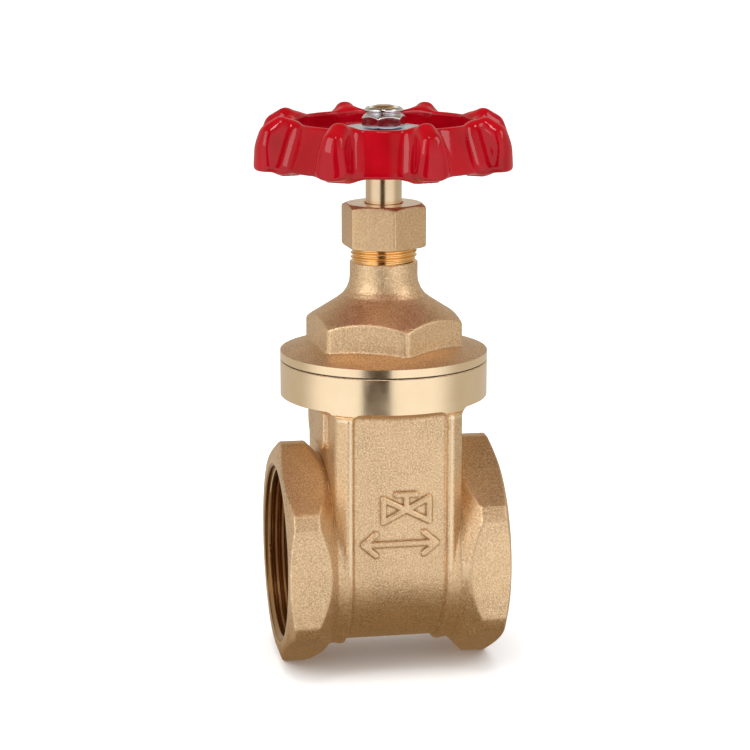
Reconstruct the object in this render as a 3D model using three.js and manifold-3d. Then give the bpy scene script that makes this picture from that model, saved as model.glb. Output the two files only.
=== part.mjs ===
// Brass wedge gate valve with a non-rising stem and female pipe threads at both ends.
// Millimetres. Origin: where the pipe axis (X) crosses the stem axis (Z). -Y is the front.
// Threads are plain cylinders at their crest radius. The valve is shown closed.
import * as THREE from "three";
import { mergeVertices } from "three/addons/utils/BufferGeometryUtils.js";
import Module from "manifold-3d";

// ---- Driving dimensions: pipe ends -------------------------------------------------------
const END_TO_END = 74; // face to face along the pipe axis
const PIPE_THREAD_R = 28.33; // crest of the G 2 female thread
const PIPE_LEAD_IN = 2.1; // 45 degree countersink of each mouth
const END_HEX_AF = 68.4; // wrench flats
const END_HEX_CORNER_R = 38.07; // turned-off corners
const END_HEX_LENGTH = 8.3; // corners, between the face chamfer and the back cone
const FACE_RING = 2.9; // flat ring left between the countersink and the face chamfer
const FACE_CHAMFER_DEG = 20;

// ---- Driving dimensions: gate and chamber ------------------------------------------------
const PORT_R = 22.5;
const SEAT_WIDTH = 3.5;
const SEAT_OVERLAP = 0.3; // wedge rim beyond the seat
const WEDGE_THICKNESS = 22; // on the pipe axis
const WEDGE_ANGLE_DEG = 5; // each face
const WEDGE_BOSS_R = 11;
const WEDGE_BOSS_RISE = 7.7; // boss above the rim of the wedge
const WEDGE_FLOOR = 2.8; // metal under the blind stem hole
const LIFT_MARGIN = 1.6; // rim of the raised wedge still in the port
const CHAMBER_GAP = 1.7; // wedge rim to chamber wall
const CHAMBER_SIDE_GAP = 1.6; // wedge top corner to chamber side
const BODY_WALL = 2.3;
const SEAT_WALL = 5.6; // between the chamber and the floor of each socket
const BEAD_RISE = 1.3; // raised edges of the front and back panels
const BEAD_WIDTH = 2;
const PANEL_STEP = 1; // slope between panel and bead
const SIDE_BULGE = 4.5; // side walls beyond the bead, at the middle
const TONGUE_RISE = 0.7;
const TONGUE_WIDTH = 26;
const TONGUE_FOOT = 7.4; // above the barrel
const GUIDE_WIDTH = 4.4;
const GUIDE_DEPTH = 2.6;
const GUIDE_BELOW_AXIS = 9;

// ---- Driving dimensions: bonnet joint ----------------------------------------------------
const JOINT_BELOW_WEDGE_TOP = 7.4; // joint plane below the top of the raised wedge
const FLANGE_HEIGHT = 12.6;
const FLANGE_WALL = 4.6; // around the bonnet thread
const GASKET_THICKNESS = 0.5;
const GASKET_RECESS = 0.4;
const SKIRT_LENGTH = 8.2; // threaded skirt of the bonnet
const BONNET_FLANGE_RIM = 2.9;
const BONNET_FLANGE_RISE = 2.7; // conical top up to the hexagon

// ---- Driving dimensions: bonnet ----------------------------------------------------------
const BONNET_WALL = 3.18;
const DOME_WALL = 3.9; // above the flat top of the cavity
const SHOULDER_DROP = 1.6; // shoulder of the dome below the top of the retainer
const BONNET_HEX_TURN_DEG = -83.5;
const RETAINER_R = 11.9;
const RETAINER_HEIGHT = 4;
const COLLAR_R = 9.4;
const COLLAR_HEIGHT = 3.6;
const THRUST_WASHER = 0.5;
const COLLAR_ROOF = 3; // bonnet metal above the collar
const NECK_R = 11.2;
const NECK_THREAD_R = 11;
const NECK_THREAD_LENGTH = 13.8;
const BOX_R = 8.55; // stuffing box
const PACKING_RINGS = 5;
const PACKING_RING_HEIGHT = 2.4;
const PACKING_WASHER = 1;
const GLAND_NOSE = 5.9;
const GLAND_FLANGE = 2.3;

// ---- Driving dimensions: gland nut, stem and handwheel -----------------------------------
const GLAND_NUT_AF = 25.3;
const GLAND_NUT_HEIGHT = 14.4;
const GLAND_NUT_TOP = 2.8;
const GLAND_NUT_TURN_DEG = -85.5;
const STEM_R = 6;
const STEM_THREAD_R = 7;
const STEM_THREAD_PITCH = 4; // left-hand, one start
const STEM_IN_WEDGE = 9.7; // engaged length when the valve is closed
const STEM_TO_WHEEL = 13.6; // bare stem between gland nut and wheel hub
const STEM_SQUARE = 8.4;
const STUD_R = 3.95;
const STUD_PROUD = 0.7;
const HUB_R = 12.4;
const HUB_HEIGHT = 10.4;
const WHEEL_LOBES = 8;
const WHEEL_SPOKES = 4;
const WHEEL_LOBE_R = 45.2;
const WHEEL_TURN_DEG = 11.5;
const RIM_FOOT_R = 38; // between lobes, at the foot
const RIM_CREST_R = 31.8; // between lobes, at the crest
const RIM_BORE_R = 29.8;
const RIM_HEIGHT = 15;
const LOBE_RISE = 2.4; // lobe tops above the rim
const RIM_BELOW_HUB = 1.2;
const SPOKE_WIDTH = 7;
const SPOKE_HEIGHT = 5;
const DISC_R = 13.5;
const DISC_THICKNESS = 0.8;
const LOCK_NUT_AF = 13;
const LOCK_NUT_HEX = 4.6;
const LOCK_NUT_HEIGHT = 6.7;
const LOCK_NUT_TURN_DEG = 5.5;
const INSERT_R = 5.2;
const INSERT_HEIGHT = 1.9;

// ---- Facets of round shapes ---------------------------------------------------------------
const LARGE_ROUND = 40;
const MEDIUM_ROUND = 24;
const SMALL_ROUND = 20;

// ---- Clearances --------------------------------------------------------------------------
const FIT = 0.3; // assembled pieces that share a bore or a plane
const RUN = 0.1; // radial running fit on the stem
const LAY = 0.05; // stacked washers and rings
const SWEEP = 0.7; // moving wedge to bonnet cavity

// ---- Derived sizes -----------------------------------------------------------------------
const HALF_LENGTH = END_TO_END / 2;
const SLOPE = Math.tan(THREE.MathUtils.degToRad(WEDGE_ANGLE_DEG));
const SEAT_R = PORT_R + SEAT_WIDTH;
const WEDGE_R = SEAT_R + SEAT_OVERLAP;
const CHAMBER_R = WEDGE_R + CHAMBER_GAP;
const WEDGE_TOP_HALF = WEDGE_THICKNESS / 2 + WEDGE_R * SLOPE;
const CHAMBER_HALF = WEDGE_TOP_HALF + CHAMBER_SIDE_GAP;
const PANEL_R = CHAMBER_R + BODY_WALL;
const BARREL_R = PANEL_R + BEAD_RISE;
const PANEL_HALF = CHAMBER_HALF + LAY;
const BEAD_END = PANEL_HALF + PANEL_STEP + BEAD_WIDTH;
const SOCKET_FLOOR = CHAMBER_HALF + SEAT_WALL;
const WEDGE_BOSS_TOP = WEDGE_R + WEDGE_BOSS_RISE;
const TRAVEL = PORT_R + WEDGE_R - LIFT_MARGIN;
const RAISED_TOP = TRAVEL + WEDGE_R;
const JOINT_Z = RAISED_TOP - JOINT_BELOW_WEDGE_TOP;
const BODY_TOP = JOINT_Z - GASKET_THICKNESS / 2;
const BONNET_BASE = JOINT_Z + GASKET_THICKNESS / 2;
const FLANGE_BOTTOM = JOINT_Z - FLANGE_HEIGHT;
const BONNET_BORE_R = Math.hypot(WEDGE_R, WEDGE_THICKNESS / 2) + 1.5;
const FLANGE_R = BONNET_BORE_R + FLANGE_WALL;
const SKIRT_R = BONNET_BORE_R - FIT;
const SKIRT_BOTTOM = BODY_TOP - SKIRT_LENGTH;
const FLANGE_RIM_TOP = JOINT_Z + BONNET_FLANGE_RIM;
const HEX_BOTTOM = FLANGE_RIM_TOP + BONNET_FLANGE_RISE;
const CAVITY_R = wedgeReach(FLANGE_RIM_TOP) + SWEEP;
const CAVITY_TOP = RAISED_TOP + 2;
const BONNET_HEX_AF = 2 * (CAVITY_R + BONNET_WALL);
const HEX_TOP = CAVITY_TOP + DOME_WALL;
const RETAINER_BOTTOM = TRAVEL + WEDGE_BOSS_TOP + 0.8;
const RETAINER_TOP = RETAINER_BOTTOM + RETAINER_HEIGHT;
const SHOULDER_Z = RETAINER_TOP - SHOULDER_DROP;
const COLLAR_BOTTOM = RETAINER_TOP + THRUST_WASHER + 2 * LAY;
const COLLAR_TOP = COLLAR_BOTTOM + COLLAR_HEIGHT;
const ROOF_BOTTOM = COLLAR_TOP + THRUST_WASHER + 2 * LAY;
const BOX_FLOOR = ROOF_BOTTOM + COLLAR_ROOF;
const PACKING_Z = BOX_FLOOR + PACKING_WASHER + 2 * LAY;
const GLAND_Z = PACKING_Z + PACKING_RINGS * (PACKING_RING_HEIGHT + LAY);
const NECK_TOP = GLAND_Z + GLAND_NOSE - FIT;
const NECK_THREAD_Z = NECK_TOP - NECK_THREAD_LENGTH;
const GLAND_TOP = GLAND_Z + GLAND_NOSE + GLAND_FLANGE;
const GLAND_NUT_Z = GLAND_TOP + LAY + GLAND_NUT_TOP - GLAND_NUT_HEIGHT;
const HUB_Z = GLAND_NUT_Z + GLAND_NUT_HEIGHT + STEM_TO_WHEEL;
const HUB_TOP = HUB_Z + HUB_HEIGHT;
const RIM_Z = HUB_Z - RIM_BELOW_HUB;
const DISC_Z = HUB_TOP + LAY;
const LOCK_NUT_Z = DISC_Z + DISC_THICKNESS + LAY;
const STEM_BOTTOM = WEDGE_BOSS_TOP - STEM_IN_WEDGE;
const STEM_TOP = LOCK_NUT_Z + LOCK_NUT_HEIGHT + STUD_PROUD;
const STEM_BORE_R = STEM_R + RUN;

// ---- Materials ---------------------------------------------------------------------------
function material(color, roughness, metalness) {
  return new THREE.MeshStandardMaterial({ color, roughness, metalness });
}
const CAST_BRASS = [0xc8a578, 0.55, 0.9];
const TURNED_BRASS = [0xd9bc85, 0.25, 1];
const RED_PAINT = [0xb81420, 0.2, 0];
const ZINC = [0xc4c6c8, 0.3, 1];
const PTFE = [0xe9e8e2, 0.6, 0];
const FIBRE = [0x4a4038, 0.8, 0];

// ---- Solids ------------------------------------------------------------------------------
const wasm = await Module();
wasm.setup();

function solid(geometry) {
  const bare = geometry.index ? geometry.toNonIndexed() : geometry.clone();
  bare.deleteAttribute("normal");
  bare.deleteAttribute("uv");
  const merged = mergeVertices(bare, 1e-4);
  const mesh = new wasm.Mesh({
    numProp: 3,
    vertProperties: merged.attributes.position.array,
    triVerts: new Uint32Array(merged.index.array),
  });
  return new wasm.Manifold(mesh);
}

function join(...solids) {
  return solids.reduce((all, one) => all.add(one));
}

function cut(from, ...tools) {
  return tools.reduce((rest, tool) => rest.subtract(tool), from);
}

function geometryOf(made) {
  const mesh = made.getMesh();
  const positions = new Float32Array(mesh.numVert * 3);
  for (let i = 0; i < mesh.numVert; i++) {
    const start = i * mesh.numProp;
    positions.set(mesh.vertProperties.subarray(start, start + 3), i * 3);
  }
  const geometry = new THREE.BufferGeometry();
  geometry.setAttribute("position", new THREE.BufferAttribute(positions, 3));
  geometry.setIndex(new THREE.BufferAttribute(mesh.triVerts, 1));
  return geometry;
}

const X = new THREE.Vector3(1, 0, 0);
const Y = new THREE.Vector3(0, 1, 0);
const Z = new THREE.Vector3(0, 0, 1);
const LATHE_TO_Z = new THREE.Matrix4().makeBasis(X, Z, Y.clone().negate());
const LATHE_TO_X = new THREE.Matrix4().makeBasis(Y, X, Z.clone().negate());
const EXTRUDE_TO_X = new THREE.Matrix4().makeBasis(Y, Z, X);
const EXTRUDE_TO_FRONT = new THREE.Matrix4().makeBasis(X, Z, Y.clone().negate());

// Turned round the given axis. Each point is [radius, height along the axis], going up.
function turned(points, segments, toAxis = LATHE_TO_Z) {
  const [first, last] = [points[0], points[points.length - 1]];
  const profile = [[0, first[1]], ...points, [0, last[1]]].map(([r, h]) => new THREE.Vector2(r, h));
  return solid(new THREE.LatheGeometry(profile, segments).applyMatrix4(toAxis));
}

function rod(radius, bottom, top, segments = MEDIUM_ROUND, toAxis = LATHE_TO_Z) {
  return turned([[radius, bottom], [radius, top]], segments, toAxis);
}

function ring(inner, outer, bottom, top, segments = MEDIUM_ROUND) {
  return cut(rod(outer, bottom, top, segments), rod(inner, bottom - 1, top + 1, segments));
}

// An outline extruded up Z, or along X where the outline's own plane is YZ.
function prism(points, from, to, toAxis = new THREE.Matrix4()) {
  const shape = new THREE.Shape(points.map(([a, b]) => new THREE.Vector2(a, b)));
  const extruded = new THREE.ExtrudeGeometry(shape, { depth: to - from, bevelEnabled: false });
  return solid(extruded.translate(0, 0, from).applyMatrix4(toAxis));
}

function box(low, high) {
  const size = high.map((value, i) => value - low[i]);
  const middle = high.map((value, i) => (value + low[i]) / 2);
  return solid(new THREE.BoxGeometry(...size).translate(...middle));
}

function polygon(sides, acrossFlats, turnDeg) {
  const radius = acrossFlats / 2 / Math.cos(Math.PI / sides);
  const corners = [];
  for (let i = 0; i < sides; i++) {
    const angle = THREE.MathUtils.degToRad(turnDeg) + (i * 2 * Math.PI) / sides;
    corners.push([radius * Math.cos(angle), radius * Math.sin(angle)]);
  }
  return corners;
}

// Largest distance of the raised wedge from the stem axis at the height z.
function wedgeReach(z) {
  const above = z - TRAVEL;
  const halfWidth = Math.sqrt(Math.max(WEDGE_R ** 2 - above ** 2, 0));
  return Math.hypot(halfWidth, WEDGE_THICKNESS / 2 + above * SLOPE);
}

// ---- Valve body --------------------------------------------------------------------------
// A profile along +X, or its mirror image along -X.
function towards(side, points) {
  return side > 0 ? points : points.map(([r, along]) => [r, -along]).reverse();
}

function endHexagon(side) {
  const faceR = PIPE_THREAD_R + PIPE_LEAD_IN + FACE_RING;
  const chamfer = (END_HEX_CORNER_R - faceR) * Math.tan(THREE.MathUtils.degToRad(FACE_CHAMFER_DEG));
  const shoulder = HALF_LENGTH - chamfer;
  const back = shoulder - END_HEX_LENGTH;
  const points = [
    [BARREL_R, back - (END_HEX_CORNER_R - BARREL_R)],
    [END_HEX_CORNER_R, back],
    [END_HEX_CORNER_R, shoulder],
    [faceR, HALF_LENGTH],
  ];
  const turnedEnd = turned(towards(side, points), LARGE_ROUND, LATHE_TO_X);
  const low = Math.min(side * (SOCKET_FLOOR - 4), side * HALF_LENGTH);
  const high = Math.max(side * (SOCKET_FLOOR - 4), side * HALF_LENGTH);
  return turnedEnd.intersect(prism(polygon(6, END_HEX_AF, 90), low, high, EXTRUDE_TO_X));
}

// Outline of the tall middle of the body, seen from above: flat panels, beads, bulged sides.
function middleOutline() {
  const quarter = [
    [PANEL_HALF, PANEL_R],
    [PANEL_HALF + PANEL_STEP, BARREL_R],
    [BEAD_END, BARREL_R],
  ];
  const steps = 5;
  for (let i = 1; i <= steps; i++) {
    const angle = (i / steps) * (Math.PI / 2);
    quarter.push([BEAD_END + SIDE_BULGE * Math.sin(angle), BARREL_R * Math.cos(angle)]);
  }
  const right = [...quarter, ...quarter.slice(0, -1).reverse().map(([x, y]) => [x, -y])];
  return [...right, ...right.map(([x, y]) => [-x, -y])].reverse();
}

function tongue(side) {
  const face = side * (BEAD_END + SIDE_BULGE + TONGUE_RISE);
  const rootFace = side * (BEAD_END - 2);
  const half = TONGUE_WIDTH / 2;
  const corner = 5;
  const foot = BARREL_R + TONGUE_FOOT;
  const outline = [[-half, foot + corner], [-half + corner, foot], [half - corner, foot]];
  outline.push([half, foot + corner], [half, FLANGE_BOTTOM + 1], [-half, FLANGE_BOTTOM + 1]);
  return prism(outline, Math.min(face, rootFace), Math.max(face, rootFace), EXTRUDE_TO_X);
}

function barrel() {
  const end = HALF_LENGTH - END_HEX_LENGTH;
  const points = [
    [BARREL_R, -end],
    [BARREL_R, -PANEL_HALF - PANEL_STEP],
    [PANEL_R, -PANEL_HALF],
    [PANEL_R, PANEL_HALF],
    [BARREL_R, PANEL_HALF + PANEL_STEP],
    [BARREL_R, end],
  ];
  return turned(points, LARGE_ROUND, LATHE_TO_X);
}

// Raised signs on the front panel: the drawing symbol of a valve and a two-way flow arrow.
const MARK_RELIEF = 0.7;
const VALVE_SIGN = { x: 2.2, z: 21.5, half: 6.8, rise: 3.9, stem: 4.6, bar: 3.4, line: 0.8 };
const ARROW_SIGN = { x: -0.4, z: 9.9, half: 12, head: 5.6, rise: 4, line: 1.1 };

function raised(points) {
  return prism(points, PANEL_R - 0.5, PANEL_R + MARK_RELIEF, EXTRUDE_TO_FRONT);
}

function frontMarks() {
  const v = VALVE_SIGN;
  const a = ARROW_SIGN;
  const marks = [];
  for (const side of [-1, 1]) {
    const end = v.x + side * v.half;
    marks.push([[v.x - side * 0.4, v.z], [end, v.z - v.rise], [end, v.z + v.rise]]);
    const neck = a.x + side * (a.half - a.head);
    marks.push([[neck, a.z - a.rise], [a.x + side * a.half, a.z], [neck, a.z + a.rise]]);
  }
  const top = v.z + v.stem;
  marks.push([[v.x - v.line, v.z], [v.x + v.line, v.z], [v.x + v.line, top], [v.x - v.line, top]]);
  const bar = top + 2 * v.line;
  marks.push([[v.x - v.bar, top - 0.1], [v.x + v.bar, top - 0.1], [v.x + v.bar, bar], [v.x - v.bar, bar]]);
  const reach = a.half - a.head + 0.1;
  const [low, high] = [a.z - a.line, a.z + a.line];
  marks.push([[a.x - reach, low], [a.x + reach, low], [a.x + reach, high], [a.x - reach, high]]);
  return join(...marks.map(raised));
}

function flange() {
  return turned([
    [BEAD_END + SIDE_BULGE, FLANGE_BOTTOM - 2.5],
    [FLANGE_R - 1.5, FLANGE_BOTTOM],
    [FLANGE_R, FLANGE_BOTTOM + 1.5],
    [FLANGE_R, BODY_TOP],
  ], LARGE_ROUND);
}

function chamber() {
  const round = rod(CHAMBER_R, -CHAMBER_HALF, CHAMBER_HALF, LARGE_ROUND, LATHE_TO_X);
  const shaftTop = SKIRT_BOTTOM - FIT;
  const shaft = box([-CHAMBER_HALF, -CHAMBER_R, 0], [CHAMBER_HALF, CHAMBER_R, shaftTop]);
  const sideR = BEAD_END + SIDE_BULGE - BODY_WALL - 1;
  const sides = [];
  for (let i = 0; i < SMALL_ROUND; i++) {
    const angle = (i / SMALL_ROUND) * 2 * Math.PI;
    sides.push([sideR * Math.cos(angle), (CHAMBER_R - 1) * Math.sin(angle)]);
  }
  const wide = prism(sides, BARREL_R + 4, shaftTop);
  const mouth = rod(BONNET_BORE_R, shaftTop - 0.1, BODY_TOP + 1, LARGE_ROUND);
  return join(round, shaft, wide, mouth);
}

// Seat ring, square to the wedge face, standing out into the chamber.
function seat(side) {
  const face = (z) => WEDGE_THICKNESS / 2 + LAY + z * SLOPE;
  const tall = CHAMBER_R + 1;
  const back = CHAMBER_HALF + 1;
  const outline = [[face(-tall), -tall], [back, -tall], [back, tall], [face(tall), tall]];
  const slab = prism(outline, -tall, tall, EXTRUDE_TO_FRONT);
  const turnedSlab = side > 0 ? slab : slab.rotate([0, 0, 180]);
  const ends = [Math.min(0, side * back), Math.max(0, side * back)];
  const tube = rod(SEAT_R, ...ends, LARGE_ROUND, LATHE_TO_X);
  return tube.intersect(turnedSlab);
}

function guide(side) {
  const wall = side * (CHAMBER_R + 0.5);
  const crest = side * (CHAMBER_R - GUIDE_DEPTH);
  const low = [-GUIDE_WIDTH / 2, Math.min(wall, crest), -GUIDE_BELOW_AXIS];
  const high = [GUIDE_WIDTH / 2, Math.max(wall, crest), SKIRT_BOTTOM - 2];
  return box(low, high);
}

function socket(side) {
  const points = [
    [PORT_R, 0],
    [PORT_R, SOCKET_FLOOR - 2],
    [PIPE_THREAD_R, SOCKET_FLOOR],
    [PIPE_THREAD_R, HALF_LENGTH - PIPE_LEAD_IN],
    [PIPE_THREAD_R + PIPE_LEAD_IN, HALF_LENGTH],
    [PIPE_THREAD_R + PIPE_LEAD_IN, HALF_LENGTH + 1],
  ];
  return turned(towards(side, points), LARGE_ROUND, LATHE_TO_X);
}

function valveBody() {
  const middle = prism(middleOutline(), 0, FLANGE_BOTTOM + 1);
  const turnedLimit = rod(FLANGE_R, FLANGE_BOTTOM - 2.5, FLANGE_BOTTOM + 2, LARGE_ROUND);
  const lower = middle.intersect(box([-60, -60, -1], [60, 60, FLANGE_BOTTOM - 2.5]));
  const upper = middle.intersect(turnedLimit);
  const outside = join(barrel(), lower, upper, tongue(-1), tongue(1), flange(), frontMarks());
  const shell = join(outside, endHexagon(-1), endHexagon(1)).subtract(chamber());
  const fitted = join(shell, seat(-1), seat(1), guide(-1), guide(1));
  return cut(fitted, socket(-1), socket(1));
}

function gasket() {
  return ring(SKIRT_R + FIT, FLANGE_R - GASKET_RECESS, BODY_TOP, BONNET_BASE, LARGE_ROUND);
}

// ---- Wedge -------------------------------------------------------------------------------
// What lies between the two sloping faces, from one height to another.
function betweenFaces(bottom, top) {
  const face = (z) => WEDGE_THICKNESS / 2 + z * SLOPE;
  const outline = [[-face(bottom), bottom], [face(bottom), bottom], [face(top), top], [-face(top), top]];
  return prism(outline, -WEDGE_R - 1, WEDGE_R + 1, EXTRUDE_TO_FRONT);
}

function wedge() {
  const ends = [-WEDGE_TOP_HALF - 1, WEDGE_TOP_HALF + 1];
  const disc = rod(WEDGE_R, ...ends, LARGE_ROUND, LATHE_TO_X).intersect(betweenFaces(-WEDGE_R, WEDGE_R));
  const boss = rod(WEDGE_BOSS_R, 0, WEDGE_BOSS_TOP).intersect(betweenFaces(0, WEDGE_BOSS_TOP));
  const hole = rod(STEM_THREAD_R + RUN, WEDGE_FLOOR - WEDGE_R, WEDGE_BOSS_TOP + 1);
  const slots = [-1, 1].map((side) => {
    const floor = side * (CHAMBER_R - GUIDE_DEPTH - 2 * FIT);
    const half = GUIDE_WIDTH / 2 + FIT;
    const outside = side * (WEDGE_R + 1);
    const low = [-half, Math.min(floor, outside), -WEDGE_R];
    return box(low, [half, Math.max(floor, outside), WEDGE_R]);
  });
  return cut(join(disc, boss), hole, ...slots);
}

// ---- Bonnet ------------------------------------------------------------------------------
function hexNut(acrossFlats, bottom, top, turnDeg, bevel, segments = MEDIUM_ROUND) {
  const cornerR = acrossFlats / Math.sqrt(3);
  const drop = bevel * (cornerR - acrossFlats / 2) * 1.6;
  const limit = turned([
    [cornerR - 0.2, bottom - 1],
    [cornerR - 0.2, top - drop],
    [acrossFlats / 2 - 0.4, top],
  ], segments);
  return limit.intersect(prism(polygon(6, acrossFlats, turnDeg), bottom, top));
}

function bonnetOutside() {
  const hexR = BONNET_HEX_AF / 2;
  const skirt = rod(SKIRT_R, SKIRT_BOTTOM, BONNET_BASE + 1, LARGE_ROUND);
  const plate = turned([
    [FLANGE_R, BONNET_BASE],
    [FLANGE_R, FLANGE_RIM_TOP],
    [hexR + 1, HEX_BOTTOM],
    [hexR - 2, HEX_BOTTOM + 1],
  ], LARGE_ROUND);
  const hexagon = hexNut(BONNET_HEX_AF, FLANGE_RIM_TOP, HEX_TOP + 1.5, BONNET_HEX_TURN_DEG, 0.6, LARGE_ROUND);
  const dome = turned([
    [hexR - 1, HEX_TOP - 2],
    [hexR - 0.4, HEX_TOP + 1.5],
    [hexR * 0.81, SHOULDER_Z],
    [RETAINER_R + 2.4, SHOULDER_Z + 2.3],
    [NECK_R + 0.9, SHOULDER_Z + 5.5],
    [NECK_R, SHOULDER_Z + 8.5],
    [NECK_R, NECK_THREAD_Z],
    [NECK_THREAD_R - 1, NECK_THREAD_Z],
    [NECK_THREAD_R - 1, NECK_THREAD_Z + 1],
    [NECK_THREAD_R, NECK_THREAD_Z + 1.6],
    [NECK_THREAD_R, NECK_TOP - 0.8],
    [NECK_THREAD_R - 0.8, NECK_TOP],
  ], LARGE_ROUND);
  return join(skirt, plate, hexagon, dome);
}

function bonnetInside() {
  const points = [];
  const rings = 5;
  for (let i = 0; i <= rings; i++) {
    const z = SKIRT_BOTTOM + (i / rings) * (FLANGE_RIM_TOP - SKIRT_BOTTOM);
    points.push([Math.max(wedgeReach(z), CAVITY_R - SWEEP) + SWEEP, i === 0 ? z - 1 : z]);
  }
  points.push([CAVITY_R, CAVITY_TOP]);
  const retainerR = RETAINER_R + FIT;
  points.push([retainerR, RETAINER_BOTTOM - 1.5], [retainerR, RETAINER_TOP + LAY]);
  const collarR = COLLAR_R + 0.4;
  points.push([collarR, RETAINER_TOP + LAY], [collarR, ROOF_BOTTOM]);
  points.push([STEM_BORE_R + 0.1, ROOF_BOTTOM], [STEM_BORE_R + 0.1, BOX_FLOOR]);
  points.push([BOX_R, BOX_FLOOR], [BOX_R, NECK_TOP + 1]);
  return turned(points, LARGE_ROUND);
}

function bonnet() {
  return bonnetOutside().subtract(bonnetInside());
}

function stemRetainer() {
  const blank = ring(STEM_THREAD_R + FIT, RETAINER_R, RETAINER_BOTTOM, RETAINER_TOP);
  const slotHalf = 1.5;
  const slotTop = RETAINER_BOTTOM + 1.5;
  const low = [-RETAINER_R - 1, -slotHalf, RETAINER_BOTTOM - 1];
  return blank.subtract(box(low, [RETAINER_R + 1, slotHalf, slotTop]));
}

// ---- Gland -------------------------------------------------------------------------------
function packingRing(index) {
  const bottom = PACKING_Z + index * (PACKING_RING_HEIGHT + LAY);
  return ring(STEM_BORE_R, BOX_R - RUN, bottom, bottom + PACKING_RING_HEIGHT, SMALL_ROUND);
}

function gland() {
  const blank = turned([
    [BOX_R - 0.2, GLAND_Z],
    [BOX_R - 0.2, GLAND_Z + GLAND_NOSE],
    [NECK_THREAD_R - 1.2, GLAND_Z + GLAND_NOSE],
    [NECK_THREAD_R - 1.2, GLAND_TOP],
  ], MEDIUM_ROUND);
  return blank.subtract(rod(STEM_BORE_R + 0.1, GLAND_Z - 1, GLAND_TOP + 1));
}

function glandNut() {
  const top = GLAND_NUT_Z + GLAND_NUT_HEIGHT;
  const blank = hexNut(GLAND_NUT_AF, GLAND_NUT_Z, top, GLAND_NUT_TURN_DEG, 0.55);
  const threadTop = GLAND_TOP + LAY;
  const thread = rod(NECK_THREAD_R + FIT, GLAND_NUT_Z - 1, threadTop);
  return cut(blank, thread, rod(STEM_BORE_R + 0.2, threadTop - 1, top + 1));
}

// ---- Stem --------------------------------------------------------------------------------
function stem() {
  const threadTop = RETAINER_BOTTOM;
  const shaft = turned([
    [STEM_THREAD_R - 1.2, STEM_BOTTOM],
    [STEM_THREAD_R, STEM_BOTTOM + 1.2],
    [STEM_THREAD_R, threadTop],
    [STEM_THREAD_R - 0.2, COLLAR_BOTTOM],
    [COLLAR_R, COLLAR_BOTTOM],
    [COLLAR_R, COLLAR_TOP],
    [STEM_R, COLLAR_TOP],
    [STEM_R, HUB_Z],
  ], MEDIUM_ROUND);
  const half = STEM_SQUARE / 2;
  const square = box([-half, -half, HUB_Z - 1], [half, half, HUB_TOP - 0.2]);
  const stud = turned([
    [STUD_R, HUB_TOP - 1],
    [STUD_R, STEM_TOP - 0.9],
    [STUD_R - 0.9, STEM_TOP],
  ], SMALL_ROUND);
  return join(shaft, square, stud);
}

// ---- Handwheel ---------------------------------------------------------------------------
// Closed section of the rim at an angle, each point [radius, height], widest at the lobes.
function rimSection(angle) {
  const wave = THREE.MathUtils.smoothstep(Math.cos(WHEEL_LOBES * angle), -1, 1);
  const foot = THREE.MathUtils.lerp(RIM_FOOT_R, WHEEL_LOBE_R, wave);
  const waist = THREE.MathUtils.lerp(RIM_CREST_R + 2.6, WHEEL_LOBE_R, wave ** 1.4);
  const crest = THREE.MathUtils.lerp(RIM_CREST_R, WHEEL_LOBE_R - 1.2, wave ** 1.8);
  const top = RIM_Z + RIM_HEIGHT;
  const lobeTop = top + LOBE_RISE * wave ** 1.8;
  return [
    [RIM_BORE_R, RIM_Z],
    [foot - 0.6, RIM_Z],
    [foot, RIM_Z + 0.8],
    [waist, RIM_Z + RIM_HEIGHT * 0.5],
    [crest, top - 0.8],
    [(crest + RIM_CREST_R) / 2, lobeTop],
    [RIM_BORE_R + 0.6, top],
    [RIM_BORE_R, top - 0.6],
  ];
}

function rim() {
  const steps = 12 * WHEEL_LOBES;
  const sides = rimSection(0).length;
  const positions = [];
  const index = [];
  for (let i = 0; i < steps; i++) {
    const angle = (i / steps) * 2 * Math.PI;
    for (const [r, z] of rimSection(angle)) {
      positions.push(r * Math.cos(angle), r * Math.sin(angle), z);
    }
    for (let j = 0; j < sides; j++) {
      const a = i * sides + j;
      const b = i * sides + ((j + 1) % sides);
      const c = ((i + 1) % steps) * sides + j;
      const d = ((i + 1) % steps) * sides + ((j + 1) % sides);
      index.push(a, c, b, b, c, d);
    }
  }
  const geometry = new THREE.BufferGeometry();
  geometry.setAttribute("position", new THREE.Float32BufferAttribute(positions, 3));
  geometry.setIndex(index);
  return solid(geometry);
}

function handwheel() {
  const spokeTop = HUB_TOP - 2.4;
  const bar = [[-RIM_BORE_R - 1, -SPOKE_WIDTH / 2], [RIM_BORE_R + 1, SPOKE_WIDTH / 2]];
  const parts = [rim(), rod(HUB_R, HUB_Z, HUB_TOP)];
  for (let i = 0; i < WHEEL_SPOKES / 2; i++) {
    const spoke = box([...bar[0], spokeTop - SPOKE_HEIGHT], [...bar[1], spokeTop]);
    parts.push(spoke.rotate([0, 0, (i * 360) / WHEEL_SPOKES]));
  }
  const half = STEM_SQUARE / 2 + RUN;
  const hole = box([-half, -half, HUB_Z - 1], [half, half, HUB_TOP + 1]);
  return join(...parts).subtract(hole.rotate([0, 0, -WHEEL_TURN_DEG])).rotate([0, 0, WHEEL_TURN_DEG]);
}

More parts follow.
